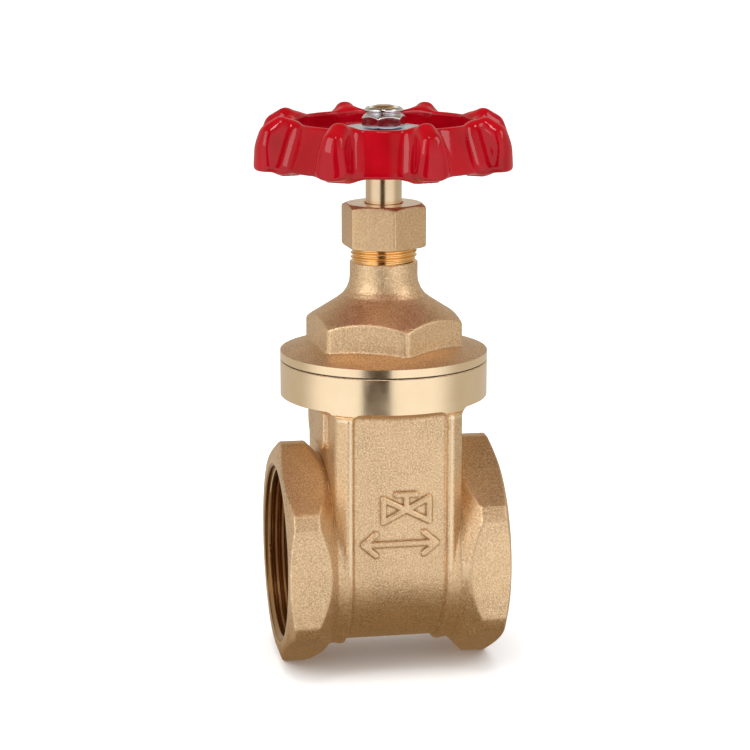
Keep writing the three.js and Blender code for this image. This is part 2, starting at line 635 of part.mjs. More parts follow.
function lockNut() {
  const hexTop = LOCK_NUT_Z + LOCK_NUT_HEX;
  const top = LOCK_NUT_Z + LOCK_NUT_HEIGHT;
  const hexagon = hexNut(LOCK_NUT_AF, LOCK_NUT_Z, hexTop, LOCK_NUT_TURN_DEG, 0.6, SMALL_ROUND);
  const collar = turned([
    [LOCK_NUT_AF / 2 - 0.5, hexTop - 1],
    [LOCK_NUT_AF / 2 - 0.3, top - 0.8],
    [INSERT_R + 0.5, top],
  ], SMALL_ROUND);
  const pocket = rod(INSERT_R, top - INSERT_HEIGHT - LAY, top + 1, SMALL_ROUND);
  const hole = rod(STUD_R + RUN, LOCK_NUT_Z - 1, top + 1, SMALL_ROUND);
  return cut(join(hexagon, collar), pocket, hole);
}

function nylonInsert() {
  const top = LOCK_NUT_Z + LOCK_NUT_HEIGHT;
  return ring(STUD_R + RUN, INSERT_R - RUN, top - INSERT_HEIGHT, top - 0.2, SMALL_ROUND);
}

// ---- Assembly ----------------------------------------------------------------------------
// A left-hand stem thread lifts the wedge as the wheel turns anticlockwise from above.
const valve = new THREE.Group();
valve.userData = { wedgeTravel: TRAVEL, turnsToOpen: TRAVEL / STEM_THREAD_PITCH };

function place(name, made, look) {
  const mesh = new THREE.Mesh(geometryOf(made), material(...look));
  mesh.name = name;
  valve.add(mesh);
}

const washerR = STEM_THREAD_R + FIT;
place("valve_body", valveBody(), CAST_BRASS);
place("bonnet_gasket", gasket(), FIBRE);
place("bonnet", bonnet(), CAST_BRASS);
place("stem_retainer", stemRetainer(), TURNED_BRASS);
place("lower_thrust_washer", ring(washerR, COLLAR_R, RETAINER_TOP + LAY, COLLAR_BOTTOM - LAY), PTFE);
place("upper_thrust_washer", ring(STEM_BORE_R, COLLAR_R, COLLAR_TOP + LAY, ROOF_BOTTOM - LAY), PTFE);
place("packing_washer", ring(STEM_BORE_R, BOX_R - RUN, BOX_FLOOR + LAY, PACKING_Z - LAY), TURNED_BRASS);
for (let i = 0; i < PACKING_RINGS; i++) {
  place(`packing_ring_${i + 1}`, packingRing(i), PTFE);
}
place("gland", gland(), TURNED_BRASS);
place("gland_nut", glandNut(), CAST_BRASS);
place("wedge", wedge(), CAST_BRASS);
place("stem", stem(), TURNED_BRASS);
place("handwheel", handwheel(), RED_PAINT);
place("name_disc", ring(STUD_R + RUN, DISC_R, DISC_Z, DISC_Z + DISC_THICKNESS), ZINC);
place("lock_nut", lockNut(), ZINC);
place("nylon_insert", nylonInsert(), PTFE);

export default valve;
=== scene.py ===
"""Looks of a brass gate valve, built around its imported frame.

Shapes are worked out in millimetres and turned into metres when their mesh is made. Castings are
distance fields (negative inside) that are blurred a little, which rounds their edges, and then
meshed. Machined surfaces are exact turned or threaded solids, joined to the castings or cut from
them.
"""
import math

import bpy
import numpy as np
import openvdb
from mathutils import Matrix, Vector


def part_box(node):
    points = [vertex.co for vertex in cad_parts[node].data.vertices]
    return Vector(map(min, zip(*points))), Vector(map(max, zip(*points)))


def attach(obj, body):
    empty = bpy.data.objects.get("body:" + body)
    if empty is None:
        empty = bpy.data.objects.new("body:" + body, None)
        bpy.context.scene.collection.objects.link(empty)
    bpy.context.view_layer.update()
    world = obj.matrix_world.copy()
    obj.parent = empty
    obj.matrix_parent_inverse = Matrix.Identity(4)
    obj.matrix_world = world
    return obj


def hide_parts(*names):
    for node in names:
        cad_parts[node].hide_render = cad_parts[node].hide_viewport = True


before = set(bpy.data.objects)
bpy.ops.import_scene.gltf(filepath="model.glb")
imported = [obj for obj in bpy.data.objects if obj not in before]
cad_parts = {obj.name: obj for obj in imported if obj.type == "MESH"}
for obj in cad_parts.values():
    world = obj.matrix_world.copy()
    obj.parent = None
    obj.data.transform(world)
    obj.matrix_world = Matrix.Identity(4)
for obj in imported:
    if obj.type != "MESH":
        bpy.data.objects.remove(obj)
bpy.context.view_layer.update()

MM = 0.001


def corners(node):
    """Lowest and highest corner of a CAD node, in millimetres."""
    low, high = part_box(node)
    return Vector(low) / MM, Vector(high) / MM


# ---- Sizes from the frame ----
BODY_LOW, BODY_HIGH = corners("valve_body")
BONNET_LOW, BONNET_HIGH = corners("bonnet")
NUT_LOW, NUT_HIGH = corners("gland_nut")
WEDGE_LOW, WEDGE_HIGH = corners("wedge")
STEM_LOW, STEM_HIGH = corners("stem")
WHEEL_LOW, WHEEL_HIGH = corners("handwheel")
DISC_LOW, DISC_HIGH = corners("name_disc")
LOCK_LOW, LOCK_HIGH = corners("lock_nut")
INSERT_FOOT = corners("nylon_insert")[0].z
RETAINER_LOW, RETAINER_HIGH = corners("stem_retainer")

HALF_LENGTH = BODY_HIGH.x
HEX_CORNER_R = -BODY_LOW.z
BODY_TOP = BODY_HIGH.z
FLANGE_R = BONNET_HIGH.x
BONNET_BASE = corners("bonnet_gasket")[1].z
COLLAR_R = STEM_HIGH.x
WEDGE_R = WEDGE_HIGH.y

# ---- Pitch of the meshes ----
VOXEL = 0.36
WHEEL_VOXEL = 0.35
NUT_VOXEL = 0.25
SQUARE_VOXEL = 0.2
LOCK_VOXEL = 0.13

# ---- Sizes of the body ----
END_HEX_AF = 68.4
PIPE_THREAD_R = 28.33
PIPE_THREAD_DEPTH = 1.48
PIPE_PITCH = 2.309
PIPE_LEAD_IN = 1.5
FACE_RING_R = 33.33
FACE_CHAMFER = math.tan(math.radians(20))
END_HEX_LENGTH = 8.3
PORT_R = 22.5
SEAT_R = 26
SOCKET_FLOOR = 20.5
CHAMBER_R = 28
CHAMBER_HALF = 14.9
PANEL_R = 30.3
BARREL_R = 31.6
PANEL_HALF = 14.95
PANEL_STEP = 1
BEAD_END = 17.95
BEAD_RISE = 0.35
SIDE_BULGE = 3.7
SIDE_CORNER = 3.6
TONGUE_RISE = 1.9
TONGUE_HALF = 16.5
TONGUE_FOOT = 38
TONGUE_CORNER = 5
GUIDE_HALF = 2.2
GUIDE_CREST = 25.4
GUIDE_FOOT = -9
FLANGE_FOOT = 53.5
WEDGE_HALF = 11
WEDGE_SLOPE = math.tan(math.radians(5))
SEAT_GAP = 0.05
SKIRT_FOOT = BONNET_LOW.z
BONNET_BORE_R = 30

# ---- Sizes of the bonnet ----
RIM_TOP = 69
HEX_SHOULDER = 78.2
BONNET_HEX_AF = 46.9
BONNET_HEX_TURN = -83.5
BONNET_HEX_CORNER = 2.6
CAVITY_R = 20.27
CAVITY_TOP = 75.5
RETAINER_R = RETAINER_HIGH.x
RETAINER_SEAT = RETAINER_HIGH.z + 0.05
ROOF = 90.8
BOX_FLOOR = 93.8
BOX_R = 8.55
STEM_BORE_R = 6.1
NECK_R = 11.3
NECK_THREAD_R = 11
NECK_THREAD_Z = 98.95
NECK_PITCH = 1.5
NECK_TOP = BONNET_HIGH.z
SKIRT_PITCH = 2

# ---- Sizes of the moving pieces ----
NUT_AF = 25.3
NUT_TURN = -85.5
STEM_R = 6
STEM_THREAD_R = 7
STEM_PITCH = 4
STEM_THREAD_START = STEM_LOW.z - 5
SQUARE_HALF = 4.2
STUD_R = 3.95
STUD_PITCH = 1.25
HUB_R = 12.4
HUB_Z = 131.8
HUB_TOP = DISC_LOW.z - 0.05
WHEEL_TURN = 11.5
WHEEL_LOBES = 8
WHEEL_SPOKES = 4
RIM_Z = WHEEL_LOW.z
RIM_HEIGHT = 15
RIM_BORE_R = 29.8
RIM_CREST_R = 31.8
RIM_FOOT_R = 38
LOBE_R = 45.2
LOBE_HALF = 3.5
LOBE_FLARE = 0.19
SPOKE_HALF = 3.5
SPOKE_RISE = 2.5
LOCK_AF = 13
LOCK_TURN = 5.5
LOCK_HEX_TOP = LOCK_LOW.z + 4.6
TRAVEL = 47.2
INSERT_R = 5.2
SLOT_HALF = 1.5
BOSS_R = 11
RECESS_R = 18
RECESS_DEPTH = 1.4


# ---- Outlines ----
def path(points, steps=6):
    """A polyline whose corners are rounded. Each point is (a, b) or (a, b, radius)."""
    out = []
    for i, (*place, radius) in enumerate([(*point, 0)[:3] for point in points]):
        corner = Vector(place)
        before = Vector(points[i - 1][:2]) - corner
        after = Vector(points[(i + 1) % len(points)][:2]) - corner
        if not radius:
            out.append(tuple(corner))
            continue
        half = before.angle(after) / 2
        reach = radius / math.tan(half)
        start, end = corner + before.normalized() * reach, corner + after.normalized() * reach
        middle = (before.normalized() + after.normalized()).normalized()
        centre = corner + middle * radius / math.sin(half)
        for step in range(steps + 1):
            spoke = (start - centre).lerp(end - centre, step / steps).normalized() * radius
            out.append(tuple(centre + spoke))
    return out


def polygon(sides, across_flats, turn):
    radius = across_flats / 2 / math.cos(math.pi / sides)
    angles = [math.radians(turn) + 2 * math.pi * i / sides for i in range(sides)]
    return [(radius * math.cos(a), radius * math.sin(a)) for a in angles]


def cylinder(radius, low, high, inner=0):
    return [(inner, low), (radius, low), (radius, high), (inner, high)]


# ---- Meshes ----
def mesh_object(name, points, faces):
    """An object from points in millimetres."""
    mesh = bpy.data.meshes.new(name)
    mesh.from_pydata((np.asarray(points, dtype=np.float64) * MM).tolist(), [], faces)
    mesh.validate()
    made = bpy.data.objects.new(name, mesh)
    bpy.context.collection.objects.link(made)
    return made


def turned(name, profile, segments=192, axis="z", ring=False):
    """A solid turned round an axis. The profile is (radius, height) points. It starts and ends
    on the axis, or closes on itself as a ring. It runs upwards on the outside."""
    points, rows = [], []
    for radius, height in profile:
        if radius <= 1e-9:
            rows.append([len(points)] * segments)
            points.append((0, 0, height))
            continue
        rows.append(list(range(len(points), len(points) + segments)))
        for i in range(segments):
            angle = 2 * math.pi * i / segments
            points.append((radius * math.cos(angle), radius * math.sin(angle), height))
    faces = []
    pairs = list(zip(rows, rows[1:])) + ([(rows[-1], rows[0])] if ring else [])
    for low, high in pairs:
        for i in range(segments):
            j = (i + 1) % segments
            face = list(dict.fromkeys([low[i], low[j], high[j], high[i]]))
            if len(face) > 2:
                faces.append(face)
    if axis == "x":
        points = [(h, a, b) for a, b, h in points]
    return mesh_object(name, points, faces)


def ring_profile(inner, outer, bottom, top, chamfer):
    return [
        (inner + chamfer, bottom), (outer - chamfer, bottom), (outer, bottom + chamfer),
        (outer, top - chamfer), (outer - chamfer, top), (inner + chamfer, top),
        (inner, top - chamfer), (inner, bottom + chamfer),
    ]


def thread(name, root, crest, pitch, start, end, axis="z", left_hand=False, flat=0.16):
    """A threaded rod. Its ends are ragged, so they are buried or cut off."""
    segments, rows_per_turn = 144, 12
    turns = math.ceil((end - start) / pitch)
    rows = turns * rows_per_turn + 1
    hand = -1 if left_hand else 1
    points = []
    for i in range(segments):
        angle = hand * 2 * math.pi * i / segments
        for j in range(rows):
            share = (j % rows_per_turn) / rows_per_turn
            wave = abs(2 * share - 1)
            height = min(max((wave - flat) / (1 - 2 * flat), 0), 1)
            radius = root + (crest - root) * height
            along = start + pitch * (j / rows_per_turn + i / segments)
            points.append((radius * math.cos(angle), radius * math.sin(angle), along))
    faces = []
    for i in range(segments):
        for j in range(rows - 1):
            here = i * rows + j
            if i < segments - 1:
                quad = [here, here + rows, here + rows + 1, here + 1]
            elif j + 1 + rows_per_turn < rows:
                quad = [here, j + rows_per_turn, j + 1 + rows_per_turn, here + 1]
            else:
                continue
            faces.append(quad if hand > 0 else quad[::-1])
    low = [i * rows for i in range(segments)] + list(range(rows_per_turn, 0, -1))
    first = rows - 1 - rows_per_turn
    high = [i * rows + rows - 1 for i in range(segments)]
    last_column = (segments - 1) * rows
    high += [last_column + j for j in range(rows - 2, first - 1, -1)]
    for loop, height, outward in ((low, start, True), (high, end + pitch, False)):
        centre = len(points)
        points.append((0, 0, height))
        for a, b in zip(loop, loop[1:] + loop[:1]):
            face = [centre, b, a] if outward == (hand > 0) else [centre, a, b]
            faces.append(face)
    if axis == "x":
        points = [(h, a, b) for a, b, h in points]
    return mesh_object(name, points, faces)


def combine(target, tool, operation):
    """Joins, cuts or keeps the common part, and removes the tool."""
    change = target.modifiers.new(operation, "BOOLEAN")
    change.operation = operation
    change.solver = "MANIFOLD"
    change.object = tool
    graph = bpy.context.evaluated_depsgraph_get()
    made = bpy.data.meshes.new_from_object(target.evaluated_get(graph))
    target.modifiers.clear()
    target.data = made
    bpy.data.objects.remove(tool)
    return target


def cut_turned(target, profile, segments=192, axis="z", ring=False):
    return combine(target, turned("tool", profile, segments, axis, ring), "DIFFERENCE")


def add_threaded(target, profile, *sizes, left_hand=False):
    """Adds a turned blank with a thread on it. The sizes are those that thread() takes."""
    blank = turned("blank", profile, 144)
    combine(blank, thread("thread", *sizes, left_hand=left_hand), "INTERSECT")
    return combine(target, blank, "UNION")


def square_bar(half, low, high, axis="z"):
    bar = turned("bar", cylinder(half * math.sqrt(2), low, high), 4, axis)
    bar.data.transform(Matrix.Rotation(math.pi / 4, 4, axis.upper()))
    return bar


# ---- Distance fields ----
class Space:
    """A block of voxels between two corners."""

    def __init__(self, low, high, voxel):
        self.voxel = voxel
        self.low = np.array(low, dtype=np.float64) - 3 * voxel
        counts = np.ceil((np.array(high) + 3 * voxel - self.low) / voxel).astype(int) + 1
        axes = [self.low[i] + voxel * np.arange(counts[i]) for i in range(3)]
        x, y, z = [axis.astype(np.float32) for axis in axes]
        self.x, self.y, self.z = x[:, None, None], y[None, :, None], z[None, None, :]

    def about_z(self, profile):
        """Distance to a shape turned round Z, from its closed (radius, height) outline."""
        radius = np.hypot(self.x, self.y)[:, :, 0]
        return self._spun(profile, radius, self.z.ravel()).transpose(1, 2, 0)

    def about_x(self, profile, radius=None):
        """Distance to a shape turned round X, from its closed (radius, along) outline."""
        radius = np.hypot(self.y, self.z)[0] if radius is None else radius
        return self._spun(profile, radius, self.x.ravel())

    def along_z(self, outline):
        """Distance to a prism along Z, from its closed (x, y) outline."""
        return polygon_distance(self.x[:, :, 0], self.y[:, :, 0], outline)[:, :, None]

    def along_x(self, outline):
        """Distance to a prism along X, from its closed (y, z) outline."""
        return polygon_distance(self.y[0], self.z[0], outline)[None]

    def _spun(self, profile, radius, along):
        step = self.voxel / 2
        reach = np.arange(0, radius.max() + 2 * step, step, dtype=np.float32)
        table = polygon_distance(reach[None, :], along[:, None], profile)
        index = (radius / step).astype(int)
        share = (radius / step - index).astype(np.float32)
        return table[:, index] * (1 - share) + table[:, index + 1] * share

    def mesh(self, name, field, blur=1):
        for _ in range(blur):
            field = softened(field)
        grid = openvdb.FloatGrid()
        grid.copyFromArray(np.ascontiguousarray(field, dtype=np.float32))
        points, _, quads = grid.convertToPolygons(isovalue=0.0, adaptivity=0.0)
        faces = quads[:, ::-1] if outward_is_reversed(points, quads) else quads
        return mesh_object(name, points * self.voxel + self.low, faces.tolist())


def outward_is_reversed(points, quads):
    a, b, c = points[quads[:, 0]], points[quads[:, 1]], points[quads[:, 2]]
    return float(np.einsum("ij,ij->i", a, np.cross(b, c)).sum()) < 0


def softened(field):
    """One pass of a 1-2-1 blur along each axis."""
    for axis in range(3):
        core = [slice(None)] * 3
        before, after = core.copy(), core.copy()
        core[axis], before[axis], after[axis] = slice(1, -1), slice(0, -2), slice(2, None)
        core, before, after = tuple(core), tuple(before), tuple(after)
        smooth = field.copy()
        smooth[core] = field[before] / 4 + field[core] / 2 + field[after] / 4
        field = smooth
    return field


def polygon_distance(a, b, points):
    """Signed distance in a plane to a closed outline, negative inside."""
    nearest = np.full(np.broadcast(a, b).shape, 1e9, dtype=np.float32)
    inside = np.zeros(nearest.shape, dtype=bool)
    for (a0, b0), (a1, b1) in zip(points, points[1:] + points[:1]):
        da, db = a1 - a0, b1 - b0
        length = da * da + db * db
        if length < 1e-12:
            continue
        share = np.clip(((a - a0) * da + (b - b0) * db) / length, 0, 1)
        nearest = np.minimum(nearest, (a - a0 - share * da) ** 2 + (b - b0 - share * db) ** 2)
        if abs(db) > 1e-9:
            crosses = (b0 > b) != (b1 > b)
            inside ^= crosses & (a < a0 + (b - b0) * da / db)
    distance = np.sqrt(nearest)
    return np.where(inside, -distance, distance).astype(np.float32)


def join(*fields):
    result = fields[0]
    for field in fields[1:]:
        result = np.minimum(result, field)
    return result


def common(*fields):
    result = fields[0]
    for field in fields[1:]:
        result = np.maximum(result, field)
    return result


def cut(field, *tools):
    for tool in tools:
        field = np.maximum(field, -tool)
    return field


def filleted(a, b, radius):
    """Joins two fields with a fillet in the corner between them."""
    near = np.maximum(radius, np.minimum(a, b))
    return near - np.hypot(np.maximum(radius - a, 0), np.maximum(radius - b, 0))


def rounded(a, b, radius):
    """What two fields share, with a round edge where they meet."""
    deep = np.minimum(-radius, np.maximum(a, b))
    return deep + np.hypot(np.maximum(radius + a, 0), np.maximum(radius + b, 0))


# ---- Valve body ----
def side_outline():
    """The middle of the body seen from above: (distance from the middle plane, x)."""
    right = [
        (PANEL_R, PANEL_HALF + 0.2), (BARREL_R + BEAD_RISE, PANEL_HALF + PANEL_STEP),
        (BARREL_R + BEAD_RISE, BEAD_END - 0.5), (BARREL_R, BEAD_END),
        (BARREL_R - SIDE_CORNER, BEAD_END + SIDE_BULGE - 0.4, 4), (0, BEAD_END + SIDE_BULGE),
    ]
    left = [(r, -x, *corner) for r, x, *corner in reversed(right)]
    return path(right + left)


def end_hexagon(space, side):
    chamfer = (HEX_CORNER_R - FACE_RING_R) * FACE_CHAMFER
    shoulder = HALF_LENGTH - chamfer
    back = shoulder - END_HEX_LENGTH
    profile = [
        (0, SOCKET_FLOOR - 4), (BARREL_R - 2, back - (HEX_CORNER_R - BARREL_R) - 2),
        (HEX_CORNER_R, back), (HEX_CORNER_R, shoulder), (FACE_RING_R - 2.75, HALF_LENGTH + 1),
        (0, HALF_LENGTH + 1),
    ]
    turned_end = space.about_x([(r, side * x) for r, x in profile])
    return rounded(turned_end, space.along_x(polygon(6, END_HEX_AF, 90)), 0.2)


def tongue(space, middle):
    """A low pad on each side wall, under the flange."""
    plate = space.along_x(path([
        (-TONGUE_HALF, FLANGE_FOOT + 2), (-TONGUE_HALF, TONGUE_FOOT, TONGUE_CORNER),
        (TONGUE_HALF, TONGUE_FOOT, TONGUE_CORNER), (TONGUE_HALF, FLANGE_FOOT + 2),
    ]))
    return rounded(plate, middle - TONGUE_RISE, 0.8)


def chamber(space):
    round_part = space.about_x(cylinder(CHAMBER_R, -CHAMBER_HALF, CHAMBER_HALF))
    x, y, z = np.abs(space.x), np.abs(space.y), space.z
    shaft = common(x - CHAMBER_HALF, y - CHAMBER_R, -z)
    side_r = BEAD_END + SIDE_BULGE - 3.3
    wide = np.hypot(x / side_r, y / (CHAMBER_R - 1)) * side_r - side_r
    return join(round_part, shaft, common(wide, BARREL_R + 4 - z))


def seats(space):
    tube = np.hypot(space.y, space.z) - SEAT_R
    face = WEDGE_HALF + SEAT_GAP + space.z * WEDGE_SLOPE - np.abs(space.x)
    return common(tube, face, np.abs(space.x) - CHAMBER_HALF - 1)


def guides(space):
    x, y = np.abs(space.x), np.abs(space.y)
    return common(x - GUIDE_HALF, GUIDE_CREST - y, y - CHAMBER_R - 0.5, GUIDE_FOOT - space.z)


# Raised signs on the front: the drawing symbol of a valve above a two-way flow arrow.
RELIEF = 1.1
STROKE = 1.0
SIGN = {"x": 2.0, "z": 21.3, "half": 7.6, "rise": 3.9, "stem": 5.2, "bar": 3.2}
ARROW = {"x": 0, "z": 9.9, "half": 12.2, "head": 4.2, "rise": 3.6}


def stroke_distance(a, b, line):
    """Distance in a plane to a polyline."""
    nearest = np.full(np.broadcast(a, b).shape, 1e9, dtype=np.float32)
    for (a0, b0), (a1, b1) in zip(line, line[1:]):
        da, db = a1 - a0, b1 - b0
        share = np.clip(((a - a0) * da + (b - b0) * db) / (da * da + db * db), 0, 1)
        nearest = np.minimum(nearest, np.hypot(a - a0 - share * da, b - b0 - share * db))
    return nearest


def front_signs(space):
    s, a = SIGN, ARROW
    middle = (s["x"], s["z"])
    lines = []
    for side in (-1, 1):
        end = s["x"] + side * s["half"]
        lines.append([middle, (end, s["z"] - s["rise"]), (end, s["z"] + s["rise"]), middle])
        tip = a["x"] + side * a["half"]
        neck = tip - side * a["head"]
        lines.append([(neck, a["z"] - a["rise"]), (tip, a["z"]), (neck, a["z"] + a["rise"])])
    top = s["z"] + s["stem"]
    lines.append([middle, (s["x"], top)])
    lines.append([(s["x"] - s["bar"], top), (s["x"] + s["bar"], top)])
    lines.append([(a["x"] - a["half"], a["z"]), (a["x"] + a["half"], a["z"])])
    plane_x, plane_z = space.x[:, 0], space.z[0]
    flat = join(*[stroke_distance(plane_x, plane_z, line) for line in lines]) - STROKE
    return rounded(flat[:, None, :], np.abs(space.y + PANEL_R) - RELIEF, 0.6)


def body_casting():
    long, wide = HALF_LENGTH + 1, HEX_CORNER_R
    space = Space((-long, -wide, -wide), (long, wide, BODY_TOP + 1), VOXEL)
    arch = np.hypot(space.y, np.minimum(space.z, 0))[0]
    middle = common(space.about_x(side_outline(), arch), space.z - FLANGE_FOOT - 1)
    flange = space.about_z([
        (0, FLANGE_FOOT - 2.5), (BEAD_END + SIDE_BULGE, FLANGE_FOOT - 2.5),
        (FLANGE_R - 0.8, FLANGE_FOOT + 0.2), (FLANGE_R + 1.2, FLANGE_FOOT + 1.2),
        (FLANGE_R + 1.2, BODY_TOP + 1), (0, BODY_TOP + 1),
    ])
    tower = filleted(filleted(middle, tongue(space, middle), 1.0), flange, 2.4)
    limit = HALF_LENGTH - END_HEX_LENGTH
    left = space.about_x(cylinder(BARREL_R, -limit, -BEAD_END + 1))
    right = space.about_x(cylinder(BARREL_R, BEAD_END - 1, limit))
    outside = join(tower, left, right, end_hexagon(space, -1), end_hexagon(space, 1))
    shell = cut(outside, chamber(space))
    fitted = join(shell, seats(space), guides(space))
    marked = filleted(softened(fitted), front_signs(space), 0.3)
    return space.mesh("valve_body_casting", marked, blur=0)


def socket_outline(side):
    """One port with its relief behind the thread, the countersink and the flat end face."""
    face, beyond = HALF_LENGTH, HEX_CORNER_R + 4
    relief = PIPE_THREAD_R + PIPE_THREAD_DEPTH + 0.1
    lead_in = PIPE_THREAD_R + PIPE_LEAD_IN
    outline = [
        (0, 0), (PORT_R, 0), (PORT_R, SOCKET_FLOOR - 2), (PIPE_THREAD_R, SOCKET_FLOOR),
        (relief, SOCKET_FLOOR + 0.6), (relief, SOCKET_FLOOR + 2.6),
        (PIPE_THREAD_R, SOCKET_FLOOR + 4), (PIPE_THREAD_R, face - PIPE_LEAD_IN),
        (lead_in - 0.3, face - 0.3), (lead_in + 0.3, face), (beyond, face), (beyond, face + 4),
        (0, face + 4),
    ]
    return outline if side > 0 else [(r, -x) for r, x in reversed(outline)]


def valve_body():
    body = body_casting()
    outer = FLANGE_R + 8
    lathe_edge = path([
        (FLANGE_R, FLANGE_FOOT - 0.4, 0.4), (outer, FLANGE_FOOT - 1.6), (outer, BODY_TOP + 4),
        (FLANGE_R, BODY_TOP + 4),
    ])
    cut_turned(body, lathe_edge, 256, ring=True)
    top, floor = BODY_TOP, SKIRT_FOOT - 0.3
    cut_turned(body, [
        (0, floor), (BONNET_BORE_R, floor), (BONNET_BORE_R, top - 0.5), (BONNET_BORE_R + 0.5, top),
        (FLANGE_R - 0.25, top), (FLANGE_R + 1, top - 1.25), (FLANGE_R + 4, top - 1.25),
        (FLANGE_R + 4, top + 4), (0, top + 4),
    ], 256)
    sizes = (PIPE_THREAD_R - 0.02, PIPE_THREAD_R + PIPE_THREAD_DEPTH, PIPE_PITCH)
    left = (-HALF_LENGTH - 4, -SOCKET_FLOOR - 4.5)
    right = (SOCKET_FLOOR + 1, HALF_LENGTH + 2)
    for side, ends in ((-1, left), (1, right)):
        cut_turned(body, socket_outline(side), axis="x")
        combine(body, thread("tap", *sizes, *ends, axis="x"), "DIFFERENCE")
    return body


# ---- Bonnet ----
def wedge_reach(z):
    """Largest distance of the raised wedge from the stem axis at a height."""
    above = z - TRAVEL
    half_width = math.sqrt(max(WEDGE_R ** 2 - above ** 2, 0))
    return math.hypot(half_width, WEDGE_HALF + above * WEDGE_SLOPE)


def bonnet_casting():
    reach, low = FLANGE_R + 1, BONNET_BASE - 1
    space = Space((-reach, -reach, low), (reach, reach, NECK_THREAD_Z + 1), VOXEL)
    hex_foot, neck_end = RIM_TOP + 3.4, NECK_THREAD_Z + 2
    plate = space.about_z([
        (0, low), (reach, low), (reach, RIM_TOP - 0.25), (BONNET_HEX_AF / 2 - 2, hex_foot),
        (0, hex_foot),
    ])
    flats = polygon(6, BONNET_HEX_AF - 2 * BONNET_HEX_CORNER, BONNET_HEX_TURN)
    prism = common(space.along_z(flats) - BONNET_HEX_CORNER, low - space.z)
    slope = [
        (34, -6.5), (26.6, 0.8), (25, 2.1), (21.5, 4.3), (19, 5.9), (15.9, 7.9), (13.9, 9.5),
        (12.5, 11.4), (11.6, 13.6), (NECK_R, 15.6),
    ]
    dome = [(0, low), (34, low)] + [(r, HEX_SHOULDER + rise) for r, rise in slope]
    dome = space.about_z(dome + [(NECK_R, neck_end), (0, neck_end)])
    return space.mesh("bonnet_casting", filleted(rounded(prism, dome, 0.25), plate, 0.7))


def bonnet_bore():
    """Room for the raised wedge, then for the retainer, the collar, the stem and the packing."""
    outline = [(0, SKIRT_FOOT - 1)]
    steps = 8
    for i in range(steps + 1):
        z = SKIRT_FOOT + (RIM_TOP - SKIRT_FOOT) * i / steps
        outline.append((max(wedge_reach(z) + 0.7, CAVITY_R), z - (1 if i == 0 else 0)))
    ring_r, collar_r, shaft_r = RETAINER_R + 0.3, COLLAR_R + 0.4, STEM_BORE_R + 0.1
    return outline + [
        (CAVITY_R, CAVITY_TOP - 2), (CAVITY_R - 2, CAVITY_TOP), (ring_r, RETAINER_LOW.z - 1.5),
        (ring_r, RETAINER_SEAT), (collar_r, RETAINER_SEAT), (collar_r, ROOF), (shaft_r, ROOF),
        (shaft_r, BOX_FLOOR), (BOX_R, BOX_FLOOR), (BOX_R, NECK_TOP - 0.5),
        (BOX_R + 1, NECK_TOP + 0.5), (0, NECK_TOP + 0.5),
    ]


def bonnet():
    made = bonnet_casting()
    rim = cylinder(FLANGE_R + 8, BONNET_BASE - 3, RIM_TOP + 3, FLANGE_R)
    cut_turned(made, rim, 256, ring=True)
    cut_turned(made, cylinder(FLANGE_R + 5, BONNET_BASE - 5, BONNET_BASE), 64)
    foot = NECK_THREAD_Z
    cut_turned(made, [
        (0, foot), (NECK_R - 0.35, foot), (NECK_R + 0.65, foot - 1), (NECK_R + 6, foot - 1),
        (NECK_R + 6, NECK_TOP), (0, NECK_TOP),
    ], 128)
    root, outer = NECK_THREAD_R - 1, NECK_THREAD_R + 0.1
    add_threaded(made, [
        (0, foot - 1.5), (root, foot - 1.5), (root, foot + 0.5), (outer, foot + 1.3),
        (outer, NECK_TOP - 1), (root, NECK_TOP), (0, NECK_TOP),
    ], NECK_THREAD_R - 0.92, NECK_THREAD_R, NECK_PITCH, foot - 1, NECK_TOP + 1)
    base, crest = BONNET_BASE, BONNET_BORE_R - 0.3
    root = crest - 1.2
    add_threaded(made, [
        (0, SKIRT_FOOT), (root, SKIRT_FOOT), (crest, SKIRT_FOOT + 1.2), (crest, base - 2),
        (root, base - 1.2), (root, base + 0.3), (0, base + 0.3),
    ], crest - 1.1, crest, SKIRT_PITCH, SKIRT_FOOT - 3, base + 2)
    return cut_turned(made, bonnet_bore())


# ---- Gland nut, wedge and stem ----
def gland_nut():
    low, high = NUT_LOW.z, NUT_HIGH.z
    half, corner_r = NUT_AF / 2, NUT_AF / math.sqrt(3)
    space = Space((-corner_r, -corner_r, low), (corner_r, corner_r, high), NUT_VOXEL)
    limit = space.about_z([
        (0, low), (half + 0.9, low), (corner_r + 0.4, low + 0.7), (corner_r + 0.4, high - 1.15),
        (half - 0.3, high), (0, high),
    ])
    flats = space.along_z(polygon(6, NUT_AF, NUT_TURN))
    nut = space.mesh("gland_nut_forging", common(flats, limit), blur=2)
    mouth, crest = NECK_THREAD_R + 0.9, NECK_THREAD_R + 0.2
    hole, floor = STEM_R + 0.35, high - 2.8
    return cut_turned(nut, [
        (0, low - 1), (mouth, low - 1), (mouth, low + 0.2), (crest, low + 0.9), (crest, floor),
        (hole, floor), (hole, high - 0.5), (hole + 1, high + 0.5), (0, high + 0.5),
    ], 144)


